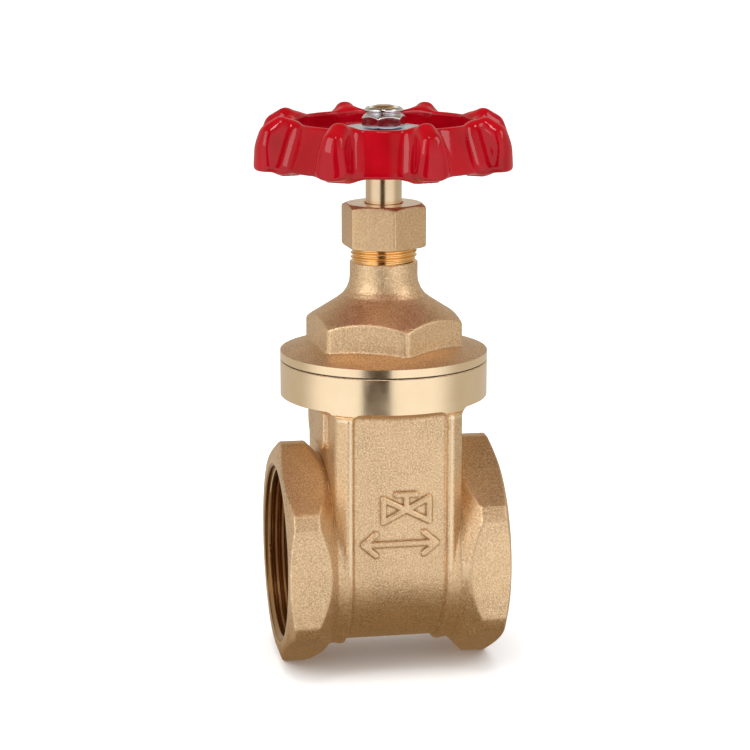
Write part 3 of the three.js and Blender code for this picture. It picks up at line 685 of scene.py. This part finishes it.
def wedge():
    space = Space(WEDGE_LOW, WEDGE_HIGH, VOXEL)
    x, y, z = np.abs(space.x), space.y, space.z
    faces = (x - WEDGE_HALF - z * WEDGE_SLOPE) * math.cos(math.atan(WEDGE_SLOPE))
    disc = np.hypot(y, z) - WEDGE_R
    boss = common(np.hypot(x, y) - BOSS_R, z - WEDGE_HIGH.z, -z)
    slots = common(x - GUIDE_HALF - 0.3, GUIDE_CREST - 0.6 - np.abs(y))
    recess = common(np.hypot(y, z) - RECESS_R, WEDGE_HALF + z * WEDGE_SLOPE - RECESS_DEPTH - x)
    body = cut(common(join(disc, boss), faces), slots, recess)
    made = space.mesh("wedge_casting", body, blur=2)
    floor = WEDGE_LOW.z + 2.8
    turns = math.floor((floor - STEM_THREAD_START) / STEM_PITCH) - 1
    start = STEM_THREAD_START + turns * STEM_PITCH
    sizes = (STEM_THREAD_R - 1.2, STEM_THREAD_R + 0.2, STEM_PITCH)
    tap = thread("wedge_tap", *sizes, start, WEDGE_HIGH.z + 5, left_hand=True)
    hole = turned("wedge_hole", cylinder(STEM_THREAD_R + 1, floor, WEDGE_HIGH.z + 1), 144)
    combine(hole, tap, "INTERSECT")
    return combine(made, hole, "DIFFERENCE")


def stem():
    bottom, top = STEM_LOW.z, STEM_HIGH.z
    thread_end, crest = RETAINER_LOW.z, STEM_THREAD_R
    collar_low = RETAINER_HIGH.z + 0.6
    collar_high = collar_low + 3.6
    made = turned("stem_shaft", [
        (0, bottom), (crest - 1.5, bottom), (crest - 1.5, thread_end),
        (crest - 0.2, thread_end + 1), (crest - 0.2, collar_low), (COLLAR_R - 0.2, collar_low),
        (COLLAR_R, collar_low + 0.2), (COLLAR_R, collar_high - 0.2),
        (COLLAR_R - 0.2, collar_high), (STEM_R, collar_high), (STEM_R, HUB_Z - 0.4),
        (STEM_R - 0.4, HUB_Z), (0, HUB_Z),
    ])
    add_threaded(made, [
        (0, bottom), (crest - 1.2, bottom), (crest, bottom + 1.2), (crest, thread_end - 0.4),
        (crest - 1.4, thread_end), (0, thread_end),
    ], crest - 1.4, crest, STEM_PITCH, STEM_THREAD_START, thread_end + 3, left_hand=True)
    square_low, square_top = HUB_Z - 1, HUB_TOP - 0.2
    corner_r = SQUARE_HALF * 1.36
    space = Space((-5, -5, square_low), (5, 5, square_top), SQUARE_VOXEL)
    limit = space.about_z([
        (0, square_low), (corner_r, square_low), (corner_r, square_top - 0.5),
        (corner_r - 0.5, square_top), (0, square_top),
    ])
    square = space.along_z(polygon(4, 2 * SQUARE_HALF, 45))
    combine(made, space.mesh("stem_square", common(square, limit)), "UNION")
    return add_threaded(made, [
        (0, HUB_TOP - 1), (STUD_R, HUB_TOP - 1), (STUD_R, top - 1), (STUD_R - 0.75, top - 0.25),
        (STUD_R - 1.6, top - 0.04), (0, top),
    ], STUD_R - 0.7, STUD_R, STUD_PITCH, HUB_TOP - 3, top + 1)


# ---- Handwheel ----
def wheel_lobes(space, out, across):
    """Finger grips: columns that widen downwards, limited by one side outline."""
    high, top = WHEEL_HIGH.z, RIM_Z + RIM_HEIGHT
    half = LOBE_HALF + LOBE_FLARE * np.clip(top - space.z, 0, RIM_HEIGHT)
    column = np.hypot(np.maximum(out - (LOBE_R + 0.8 - half), 0), across) - half
    side = path([
        (RIM_BORE_R + 1.2, RIM_Z), (LOBE_R, RIM_Z, 1), (LOBE_R - 0.5, top - 7, 9),
        (LOBE_R - 3.2, top - 0.7, 4), (LOBE_R - 9.8, high + 0.7, 3),
        (RIM_BORE_R + 1.2, top - 0.3),
    ])
    step = WHEEL_VOXEL / 2
    spans = np.arange(RIM_BORE_R - 3, LOBE_R + 3, step, dtype=np.float32)
    table = polygon_distance(spans[:, None], space.z[0], side)
    index = np.clip((out[:, :, 0] - spans[0]) / step, 0, len(spans) - 1).astype(int)
    return rounded(column, table[index], 3.2)


def handwheel():
    high, top = WHEEL_HIGH.z, RIM_Z + RIM_HEIGHT
    space = Space((-LOBE_R, -LOBE_R, RIM_Z), (LOBE_R, LOBE_R, high), WHEEL_VOXEL)
    radius = np.hypot(space.x, space.y)
    angle = np.arctan2(space.y, space.x) - math.radians(WHEEL_TURN)

    def folded(count):
        share = 2 * math.pi / count
        local = np.mod(angle + share / 2, share) - share / 2
        return radius * np.cos(local), radius * np.sin(local)

    rim = space.about_z(path([
        (RIM_BORE_R, RIM_Z, 0.8), (RIM_FOOT_R, RIM_Z, 1.2), (RIM_CREST_R, top, 0.7),
        (RIM_BORE_R, top, 0.7),
    ]))
    ring = filleted(rim, wheel_lobes(space, *folded(WHEEL_LOBES)), 4.0)
    hub = space.about_z(path([
        (0, HUB_Z), (HUB_R, HUB_Z, 1), (HUB_R - 0.2, HUB_TOP, 1), (0, HUB_TOP),
    ]))
    out, across = folded(WHEEL_SPOKES)
    deck = np.abs(space.z - (HUB_TOP - 2.4) + SPOKE_RISE) - SPOKE_RISE
    arms = rounded(np.abs(across) - SPOKE_HALF, deck, 1.2)
    spokes = common(arms, common(out - RIM_BORE_R - 1, -out))
    wheel = filleted(filleted(hub, spokes, 2), ring, 2)
    made = space.mesh("handwheel_casting", wheel, blur=2)
    return combine(made, square_bar(SQUARE_HALF + 0.1, HUB_Z - 2, high), "DIFFERENCE")


def name_disc():
    low, high, edge = DISC_LOW.z, DISC_HIGH.z, DISC_HIGH.x
    bore, face = STUD_R + 0.1, high - 0.22
    return turned("disc", [
        (bore, low), (edge - 0.3, low), (edge, low + 0.25), (edge, high - 0.25),
        (edge - 0.3, high), (edge - 1.1, high), (edge - 1.4, face), (bore + 0.2, face),
        (bore, high - 0.4),
    ], ring=True)


def lock_nut():
    low, top, high = LOCK_LOW.z, LOCK_HEX_TOP, LOCK_HIGH.z
    half, corner_r = LOCK_AF / 2, LOCK_AF / math.sqrt(3)
    space = Space((-corner_r, -corner_r, low), (corner_r, corner_r, high), LOCK_VOXEL)
    limit = space.about_z([
        (0, low), (half - 0.1, low), (corner_r + 0.1, low + 0.75), (corner_r + 0.1, top - 1.35),
        (half - 0.75, top), (0, top),
    ])
    collar = space.about_z(path([
        (0, top - 1), (half - 0.75, top - 1), (half - 0.75, top + 0.1, 0.2),
        (half - 0.1, top + 0.7, 0.5), (half - 0.2, high - 0.5, 0.5), (half - 0.9, high, 0.4),
        (0, high),
    ]))
    flats = space.along_z(polygon(6, LOCK_AF, LOCK_TURN))
    nut = space.mesh("lock_nut_blank", join(common(flats, limit), collar), blur=2)
    hole, pocket = STUD_R + 0.1, INSERT_FOOT - 0.05
    return cut_turned(nut, [
        (0, low - 1), (hole + 0.9, low - 1), (hole, low + 0.4), (hole, pocket),
        (INSERT_R, pocket), (INSERT_R, high + 1), (0, high + 1),
    ], 128)


# ---- Rings ----
def ring_piece(node, inner, chamfer):
    """A turned ring in the place of a CAD node."""
    low, high = corners(node)
    profile = ring_profile(inner, high.x, low.z, high.z, chamfer)
    return turned(f"{node}_turned", profile, 144, ring=True)


def stem_retainer():
    made = ring_piece("stem_retainer", STEM_THREAD_R + 0.3, 0.4)
    slot = square_bar(SLOT_HALF, -RETAINER_R - 2, RETAINER_R + 2, "x")
    slot.data.transform(Matrix.Translation((0, 0, RETAINER_LOW.z * MM)))
    return combine(made, slot, "DIFFERENCE")


def gland():
    low, high = corners("gland")
    outer, bottom, top = high.x, low.z, high.z
    inner, nose, shoulder = STEM_BORE_R + 0.1, BOX_R - 0.2, top - 2.3
    return turned("gland_turned", [
        (inner + 0.3, bottom), (nose - 0.3, bottom), (nose, bottom + 0.3), (nose, shoulder),
        (outer - 0.2, shoulder), (outer, shoulder + 0.2), (outer, top - 0.3), (outer - 0.3, top),
        (inner + 0.3, top), (inner, top - 0.3), (inner, bottom + 0.3),
    ], 144, ring=True)


# ---- Materials ----
class Nodes:
    """Makes the nodes of a tree. A value is a number, a tuple or another node's output."""

    def __init__(self, tree):
        self.nodes, self.links = tree.nodes, tree.links

    def put(self, value, socket):
        if isinstance(value, (int, float)):
            socket.default_value = value
        elif isinstance(value, tuple):
            fits = len(value) == len(socket.default_value)
            socket.default_value = value if fits else (*value, 1.0)
        else:
            self.links.new(value, socket)

    def fill(self, node, *values):
        for value, socket in zip(values, node.inputs):
            self.put(value, socket)
        return node.outputs

    def number(self, operation, a, b=0.0):
        node = self.nodes.new("ShaderNodeMath")
        node.operation = operation
        return self.fill(node, a, b)[0]

    def vector(self, operation, a, b=(0.0, 0.0, 0.0)):
        node = self.nodes.new("ShaderNodeVectorMath")
        node.operation = operation
        return self.fill(node, a, b)["Value" if operation == "DOT_PRODUCT" else "Vector"]

    def spread(self, value, low, high, start=0.3, end=0.7, kind="LINEAR"):
        """Maps a value between start and end onto the range from low to high."""
        node = self.nodes.new("ShaderNodeMapRange")
        node.interpolation_type = kind
        return self.fill(node, value, start, end, low, high)["Result"]

    def ramp(self, value, start, end, low=0.0, high=1.0):
        return self.spread(value, low, high, start, end, "SMOOTHSTEP")

    def blend(self, share, first, second):
        """Mixes two colours."""
        node = self.nodes.new("ShaderNodeMix")
        node.data_type = "RGBA"
        self.put(share, node.inputs["Factor"])
        self.put(first, node.inputs[6])
        self.put(second, node.inputs[7])
        return node.outputs[2]


class Shader(Nodes):
    """A Principled material and the nodes that lead to it."""

    def __init__(self, name, roughness, metallic):
        self.material = bpy.data.materials.new(name)
        self.material.use_nodes = True
        super().__init__(self.material.node_tree)
        self.surface = self.nodes["Principled BSDF"]
        self.set(Roughness=roughness, Metallic=metallic)
        self.place = self.nodes.new("ShaderNodeTexCoord").outputs["Object"]
        self.normal = None

    def set(self, **values):
        for name, value in values.items():
            self.put(value, self.surface.inputs[name.replace("_", " ")])

    def noise(self, size, detail=2.0, stretch=(1, 1, 1), roughness=0.5):
        """Noise with features of a size in millimetres, longer along an axis that is stretched."""
        mapping = self.nodes.new("ShaderNodeMapping")
        mapping.inputs["Scale"].default_value = [1 / (size * MM) / s for s in stretch]
        self.links.new(self.place, mapping.inputs["Vector"])
        noise = self.nodes.new("ShaderNodeTexNoise")
        noise.inputs["Scale"].default_value = 1
        noise.inputs["Detail"].default_value = detail
        noise.inputs["Roughness"].default_value = roughness
        self.links.new(mapping.outputs["Vector"], noise.inputs["Vector"])
        return noise.outputs["Fac"]

    def colour(self, output):
        self.put(output, self.surface.inputs["Base Color"])

    def mottle(self, noise, first, second):
        """Colours the surface between two colours by a noise value."""
        self.colour(self.blend(self.spread(noise, 0, 1), first, second))

    def roughness(self, size, detail, low, high):
        patches = self.spread(self.noise(size, detail), low, high)
        self.put(patches, self.surface.inputs["Roughness"])

    def bump(self, height, depth, strength=1.0):
        """Adds relief, in millimetres, on top of what is there."""
        bump = self.nodes.new("ShaderNodeBump")
        bump.inputs["Distance"].default_value = depth * MM
        bump.inputs["Strength"].default_value = strength
        self.links.new(height, bump.inputs["Height"])
        if self.normal:
            self.links.new(self.normal, bump.inputs["Normal"])
        self.normal = bump.outputs["Normal"]
        self.links.new(self.normal, self.surface.inputs["Normal"])


def blasted_brass(name, light, dark, grain=0.55, depth=0.14):
    shader = Shader(name, 0.45, 1.0)
    speckle = shader.noise(grain, 3, roughness=0.65)
    clouds = shader.noise(14, 3)
    tone = shader.blend(shader.spread(speckle, 0, 1, 0.36, 0.64), dark, light)
    warm = tuple(c * k for c, k in zip(light, (0.97, 0.92, 0.84)))
    tone = shader.blend(shader.spread(clouds, 0, 0.4), tone, warm)
    edge = shader.nodes.new("ShaderNodeNewGeometry").outputs["Pointiness"]
    # Concave creases are mixed towards a dark brown: painted shade in the crevices.
    crevice_shade = tuple(c * k for c, k in zip(dark, (0.62, 0.5, 0.38)))
    tone = shader.blend(shader.spread(edge, 0.75, 0, 0.44, 0.49), tone, crevice_shade)
    # Convex edges are mixed towards a pale brass: a painted highlight along the edges.
    edge_highlight = (0.97, 0.8, 0.56)
    shader.colour(shader.blend(shader.spread(edge, 0, 0.6, 0.515, 0.57), tone, edge_highlight))
    shader.roughness(2.5, 2, 0.38, 0.5)
    shader.bump(shader.noise(grain, 3), depth)
    shader.bump(shader.noise(3.2, 2), 0.05)
    return shader.material


def turned_brass(name, colour, axis, roughness=0.2, marks=1.0):
    """Bright brass with fine tool marks round an axis."""
    shader = Shader(name, roughness, 1.0)
    stretch = (30, 30, 0.25) if axis == "z" else (0.25, 30, 30)
    lines = shader.noise(1.0, 3, stretch)
    patches = shader.noise(9, 2)
    dark = tuple(c * k for c, k in zip(colour, (0.93, 0.9, 0.84)))
    tone = shader.blend(shader.spread(lines, 0, 0.6 * marks), colour, dark)
    shader.colour(shader.blend(shader.spread(patches, 0, 0.6), tone, dark))
    shader.roughness(6, 3, roughness - 0.03, roughness + 0.05)
    shader.bump(lines, 0.0025 * marks)
    return shader.material


def red_enamel():
    shader = Shader("red_enamel", 0.3, 0.0)
    shader.set(Coat_Weight=0.65, Coat_Roughness=0.05, Coat_IOR=1.5, Specular_IOR_Level=0.0)
    deep, bright = (0.235, 0.0, 0.003), (0.32, 0.001, 0.007)
    shader.mottle(shader.noise(12, 3), deep, bright)
    shader.roughness(4, 2, 0.2, 0.3)
    shader.bump(shader.noise(5, 2), 0.035)
    return shader.material


def bright_zinc():
    shader = Shader("bright_zinc", 0.14, 1.0)
    dull, bright = (0.62, 0.64, 0.66), (0.78, 0.79, 0.8)
    shader.mottle(shader.noise(2, 3), dull, bright)
    shader.roughness(1.2, 3, 0.1, 0.2)
    shader.bump(shader.noise(0.8, 2), 0.006)
    return shader.material


def disc_aluminium():
    shader = Shader("disc_aluminium", 0.3, 0.85)
    lines = shader.noise(0.6, 3, (1, 12, 1))
    dull, bright = (0.55, 0.68, 0.78), (0.78, 0.86, 0.92)
    shader.mottle(lines, dull, bright)
    shader.roughness(2, 3, 0.22, 0.38)
    shader.bump(lines, 0.004)
    return shader.material


def moulded(name, light, dark, roughness, grain):
    """Nylon, PTFE and pressed fibre: a mottled colour with a little relief."""
    shader = Shader(name, roughness, 0.0)
    shader.mottle(shader.noise(grain, 4), dark, light)
    shader.roughness(grain * 2, 2, roughness - 0.08, roughness + 0.08)
    shader.bump(shader.noise(grain * 0.6, 3), 0.01)
    return shader.material


CAST = blasted_brass("cast_brass", (0.94, 0.70, 0.45), (0.50, 0.335, 0.18))
NUT = blasted_brass("nut_brass", (0.84, 0.60, 0.36), (0.56, 0.38, 0.21), 0.5, 0.06)
TURNED = turned_brass("turned_brass", (0.92, 0.735, 0.50), "z", 0.17, 0.5)
TURNED_X = turned_brass("turned_brass_x", (0.86, 0.63, 0.37), "x", 0.28)
THREADED = turned_brass("threaded_brass", (0.90, 0.60, 0.27), "z", 0.2, 0.1)
# A dark brown copy of the turned brass for the socket bores: painted shade inside them.
BORE_SHADE_X = turned_brass("bore_brass_painted_shade_x", (0.42, 0.24, 0.10), "x", 0.3, 0.0)
# A paler copy of the turned brass for the socket thread crests: a painted highlight along them.
CREST_HIGHLIGHT_X = turned_brass("crest_brass_painted_highlight_x", (0.95, 0.76, 0.48), "x", 0.3, 0.2)
STEM_BRASS = turned_brass("stem_brass", (0.78, 0.60, 0.41), "z", 0.2)
RED = red_enamel()
ZINC = bright_zinc()
DISC = disc_aluminium()
PTFE = moulded("ptfe", (0.80, 0.79, 0.76), (0.70, 0.69, 0.66), 0.5, 3)
NYLON = moulded("nylon", (0.75, 0.72, 0.62), (0.62, 0.59, 0.5), 0.4, 1.5)
FIBRE = moulded("gasket_fibre", (0.05, 0.04, 0.035), (0.02, 0.016, 0.014), 0.75, 0.8)


def paint(piece, *choices):
    """Gives a piece its materials: one, then others with a test on face centre and normal."""
    mesh = piece.data
    mesh.materials.clear()
    count = len(mesh.polygons)
    centre, normal = np.empty(count * 3), np.empty(count * 3)
    mesh.polygons.foreach_get("center", centre)
    mesh.polygons.foreach_get("normal", normal)
    centre, normal = centre.reshape(-1, 3) / MM, normal.reshape(-1, 3)
    slots = np.zeros(count, dtype=np.int32)
    mesh.materials.append(choices[0])
    for number, (material, test) in enumerate(choices[1:], 1):
        mesh.materials.append(material)
        slots[test(centre, normal)] = number
    mesh.polygons.foreach_set("material_index", slots)


def finish_piece(piece, name, body, slot, *nodes, sharp=32):
    piece.name = piece.data.name = name
    piece.data.shade_smooth()
    piece.data.set_sharp_from_angle(angle=math.radians(sharp))
    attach(piece, body)
    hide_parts(*nodes)


def radius_x(centre):
    return np.hypot(centre[:, 1], centre[:, 2])


def radius_z(centre):
    return np.hypot(centre[:, 0], centre[:, 1])


def between(values, low, high):
    return (values > low) & (values < high)


def inwards(centre, normal):
    return centre[:, 0] * normal[:, 0] + centre[:, 1] * normal[:, 1] < 0.01


def on_rim(centre, normal):
    return (radius_z(centre) > FLANGE_R - 0.03) & (np.abs(normal[:, 2]) < 0.1)


# ---- The pieces of the valve ----
def add_body():
    made = valve_body()

    def bore(c, n):
        along = between(np.abs(c[:, 0]), SOCKET_FLOOR - 2.2, HALF_LENGTH - 0.01)
        return along & (radius_x(c) < PIPE_THREAD_R + 2)

    def crest(c, n):
        threaded = np.abs(c[:, 0]) < HALF_LENGTH - PIPE_LEAD_IN - 0.2
        return bore(c, n) & threaded & (radius_x(c) < PIPE_THREAD_R + 0.3)

    def port(c, n):
        return (radius_x(c) < PORT_R + 0.1) & (np.abs(c[:, 0]) < SOCKET_FLOOR - 1)

    def mouth(c, n):
        wall = between(radius_z(c), BONNET_BORE_R - 0.2, BONNET_BORE_R + 0.6) & inwards(c, n)
        return wall & (c[:, 2] > SKIRT_FOOT - 0.31) | (c[:, 2] > BODY_TOP - 0.01)

    def rim(c, n):
        return on_rim(c, n) & (c[:, 2] > FLANGE_FOOT - 2)

    # The socket bores get painted shade and their thread crests a painted highlight.
    choices = (BORE_SHADE_X, bore), (CREST_HIGHLIGHT_X, crest), (TURNED_X, port), (TURNED, mouth), (TURNED, rim)
    paint(made, CAST, *choices)
    finish_piece(made, "body_casting", "body", "cast_brass", "valve_body")


def add_bonnet():
    made = bonnet()

    def base(c, n):
        return c[:, 2] < BONNET_BASE + 0.01

    def neck(c, n):
        return (c[:, 2] > NECK_THREAD_Z - 0.6) & between(radius_z(c), BOX_R, NECK_R - 0.2)

    def inside(c, n):
        upper = (c[:, 2] > ROOF - 0.1) & (radius_z(c) < BOX_R + 0.6)
        lower = between(c[:, 2], CAVITY_TOP + 3.5, ROOF + 0.1) & (radius_z(c) < RETAINER_R + 0.4)
        return (upper | lower) & inwards(c, n)

    paint(made, CAST, (TURNED, on_rim), (TURNED, base), (THREADED, neck), (TURNED, inside))
    finish_piece(made, "bonnet_casting", "body", "bonnet_brass", "bonnet")


def add_gland_nut():
    made = gland_nut()

    def ends(c, n):
        at_end = (c[:, 2] > NUT_HIGH.z - 0.1) | (c[:, 2] < NUT_LOW.z + 0.1)
        return at_end & (np.abs(n[:, 2]) > 0.98)

    def inside(c, n):
        bore = (radius_z(c) < NECK_THREAD_R + 0.95) & (c[:, 2] < NUT_HIGH.z - 0.02)
        return bore & (np.abs(n[:, 2]) < 0.98)

    paint(made, NUT, (TURNED, ends), (THREADED, inside))
    finish_piece(made, "gland_nut_hexagon", "body", "nut_brass", "gland_nut")


def add_wedge():
    made = wedge()
    faces = lambda c, n: np.abs(n[:, 0]) > 0.99
    hole = lambda c, n: radius_z(c) < STEM_THREAD_R + 0.3
    paint(made, CAST, (TURNED_X, faces), (THREADED, hole))
    finish_piece(made, "gate_wedge", "wedge", "wedge_brass", "wedge")


def add_rings():
    rings = [
        ("lower_thrust_washer", STEM_THREAD_R + 0.3, 0.08, PTFE, "ptfe"),
        ("upper_thrust_washer", STEM_BORE_R, 0.08, PTFE, "ptfe"),
        ("packing_washer", STEM_BORE_R, 0.15, TURNED, "turned_brass"),
    ]
    rings += [(f"packing_ring_{i + 1}", STEM_BORE_R, 0.35, PTFE, "ptfe") for i in range(5)]
    rings += [("nylon_insert", STUD_R + 0.1, 0.25, NYLON, "nylon")]
    rings += [("bonnet_gasket", BONNET_BORE_R, 0.1, FIBRE, "gasket_fibre")]
    for node, inner, chamfer, material, slot in rings:
        made = ring_piece(node, inner, chamfer)
        paint(made, material)
        finish_piece(made, f"{node}_ring", "stem" if node == "nylon_insert" else "body", slot, node)


def add_pieces():
    add_body()
    add_bonnet()
    add_gland_nut()
    add_wedge()
    add_rings()
    singles = [
        (stem_retainer(), TURNED, "retainer_ring", "body", "turned_brass", "stem_retainer"),
        (gland(), TURNED, "gland_bush", "body", "turned_brass", "gland"),
        (stem(), STEM_BRASS, "stem_spindle", "stem", "stem_brass", "stem"),
        (handwheel(), RED, "handwheel_casting", "stem", "red_paint", "handwheel"),
        (name_disc(), DISC, "plain_disc", "stem", "aluminium_disc", "name_disc"),
        (lock_nut(), ZINC, "lock_nut_hexagon", "stem", "zinc_steel", "lock_nut"),
    ]
    for made, material, name, body, slot, node in singles:
        paint(made, material)
        finish_piece(made, name, body, slot, node)


# ---- Studio ----
CAMERA_AZIMUTH = math.radians(10.128)
CAMERA_ELEVATION = math.radians(12.508)
CAMERA_DISTANCE = 0.787708
CAMERA_TARGET = Vector((-0.002902, 0, 0.059978))
CAMERA_LENS = 112.79


def add_camera():
    back = Vector((
        -math.sin(CAMERA_AZIMUTH) * math.cos(CAMERA_ELEVATION),
        -math.cos(CAMERA_AZIMUTH) * math.cos(CAMERA_ELEVATION),
        math.sin(CAMERA_ELEVATION),
    ))
    camera = bpy.data.objects.new("camera", bpy.data.cameras.new("camera"))
    camera.data.lens = CAMERA_LENS
    camera.data.clip_end = 20
    camera.location = CAMERA_TARGET + back * CAMERA_DISTANCE
    camera.rotation_euler = back.to_track_quat("Z", "Y").to_euler()
    bpy.context.collection.objects.link(camera)
    bpy.context.scene.camera = camera


# What polished surfaces see. The gap is measured from the camera, round the stem, in radians,
# and shows beyond a distance in metres.
GAP_OFFSET = math.radians(7)
GAP_NARROW = math.radians(10)
GAP_WIDE = math.radians(19)
GAP_START = 0.28
GAP_FULL = 0.4
GAP_LIGHT = (0.05, 0.028, 0.01)
FRONT_LIGHT = (1.12, 1.11, 1.1)
SIDE_LIGHT = (0.6, 0.56, 0.5)
TOP_LIGHT = (0.24, 0.155, 0.08)
NEAR_FLOOR_LIGHT = (0.31, 0.22, 0.125)
NEAR_FLOOR = 0.05
FAR_FLOOR = 0.11
FILL_BACK = 0.6
FILL_FRONT = 1.4


def around(nodes, direction, depth):
    """Pale all round, with a brown gap at the front."""
    gap = CAMERA_AZIMUTH + GAP_OFFSET
    level = nodes.vector("NORMALIZE", nodes.vector("MULTIPLY", direction, (1.0, 1.0, 0.0)))
    ahead = nodes.vector("DOT_PRODUCT", level, (-math.sin(gap), -math.cos(gap), 0.0))
    inside = nodes.ramp(ahead, math.cos(GAP_WIDE), math.cos(GAP_NARROW))
    pale = nodes.blend(nodes.ramp(ahead, -0.1, 0.55), SIDE_LIGHT, FRONT_LIGHT)
    return nodes.blend(nodes.number("MULTIPLY", inside, depth), pale, GAP_LIGHT)


def add_floor():
    size = 6000
    edges = ((-size, -size), (size, -size), (size, size), (-size, size))
    floor = mesh_object("floor", [(x, y, BODY_LOW.z) for x, y in edges], [[0, 1, 2, 3]])
    shader = Shader("floor", 0.7, 0.0)
    shader.set(Specular_IOR_Level=0.0)
    shader.colour(shader.blend(shader.noise(60, 2), (0.89, 0.89, 0.89), (0.91, 0.91, 0.91)))
    flat = shader.vector("MULTIPLY", shader.place, (1.0, 1.0, 0.0))
    reach = shader.number("SQRT", shader.vector("DOT_PRODUCT", flat, flat))
    depth = shader.ramp(reach, GAP_START, GAP_FULL)
    far = shader.ramp(reach, NEAR_FLOOR, FAR_FLOOR)
    seen = shader.blend(far, NEAR_FLOOR_LIGHT, around(shader, shader.place, depth))
    glow = shader.nodes.new("ShaderNodeEmission")
    shader.put(seen, glow.inputs["Color"])
    mix = shader.nodes.new("ShaderNodeMixShader")
    glossy = shader.nodes.new("ShaderNodeLightPath").outputs["Is Glossy Ray"]
    shader.fill(mix, glossy, shader.surface.outputs[0], glow.outputs[0])
    shader.put(mix.outputs[0], shader.nodes["Material Output"].inputs["Surface"])
    floor.data.materials.append(shader.material)


def add_world():
    """A pale studio: even fill from the front, brightness all round for polished surfaces."""
    world = bpy.data.worlds.new("studio")
    bpy.context.scene.world = world
    world.use_nodes = True
    sky = Nodes(world.node_tree)
    place = sky.nodes.new("ShaderNodeTexCoord").outputs["Generated"]
    overhead = sky.ramp(sky.vector("DOT_PRODUCT", place, (0.0, 0.0, 1.0)), 0.3, 0.85)
    mirrored = sky.blend(overhead, around(sky, place, 1.0), TOP_LIGHT)
    front = sky.vector("DOT_PRODUCT", place, (-0.45, -0.75, 0.48))
    fill = sky.ramp(front, -0.9, 0.9, FILL_BACK, FILL_FRONT)
    seen = sky.nodes.new("ShaderNodeLightPath").outputs
    diffuse = seen["Is Diffuse Ray"]
    direct = sky.number("SUBTRACT", 1.0, diffuse)
    even = sky.number("ADD", direct, sky.number("MULTIPLY", diffuse, fill))
    grey = sky.vector("MULTIPLY", (1.0, 1.0, 1.0), even)
    background = sky.nodes["Background"]
    sky.put(sky.blend(seen["Is Glossy Ray"], grey, mirrored), background.inputs["Color"])
    background.inputs["Strength"].default_value = 1.0


def add_light(name, place, aim, size, energy, glossy=True):
    light = bpy.data.objects.new(name, bpy.data.lights.new(name, "AREA"))
    light.data.size = size
    light.data.energy = energy
    light.location = place
    light.rotation_euler = (light.location - Vector(aim)).to_track_quat("Z", "Y").to_euler()
    light.visible_glossy = glossy
    bpy.context.collection.objects.link(light)


def add_lights():
    middle = (0, 0, 0.1)
    add_light("overhead", (0, 0, 2.6), (0, 0, 0), 3.2, 28, glossy=False)
    add_light("left", (-0.75, -0.4, 0.7), middle, 0.5, 2.4)
    add_light("right", (0.7, -0.35, 0.75), middle, 0.4, 1.6)
    add_light("top", (-0.1, -0.45, 1.1), middle, 0.2, 1.2)


add_camera()
add_floor()
add_world()
add_lights()
add_pieces()
bpy.context.scene.view_settings.view_transform = "Standard"
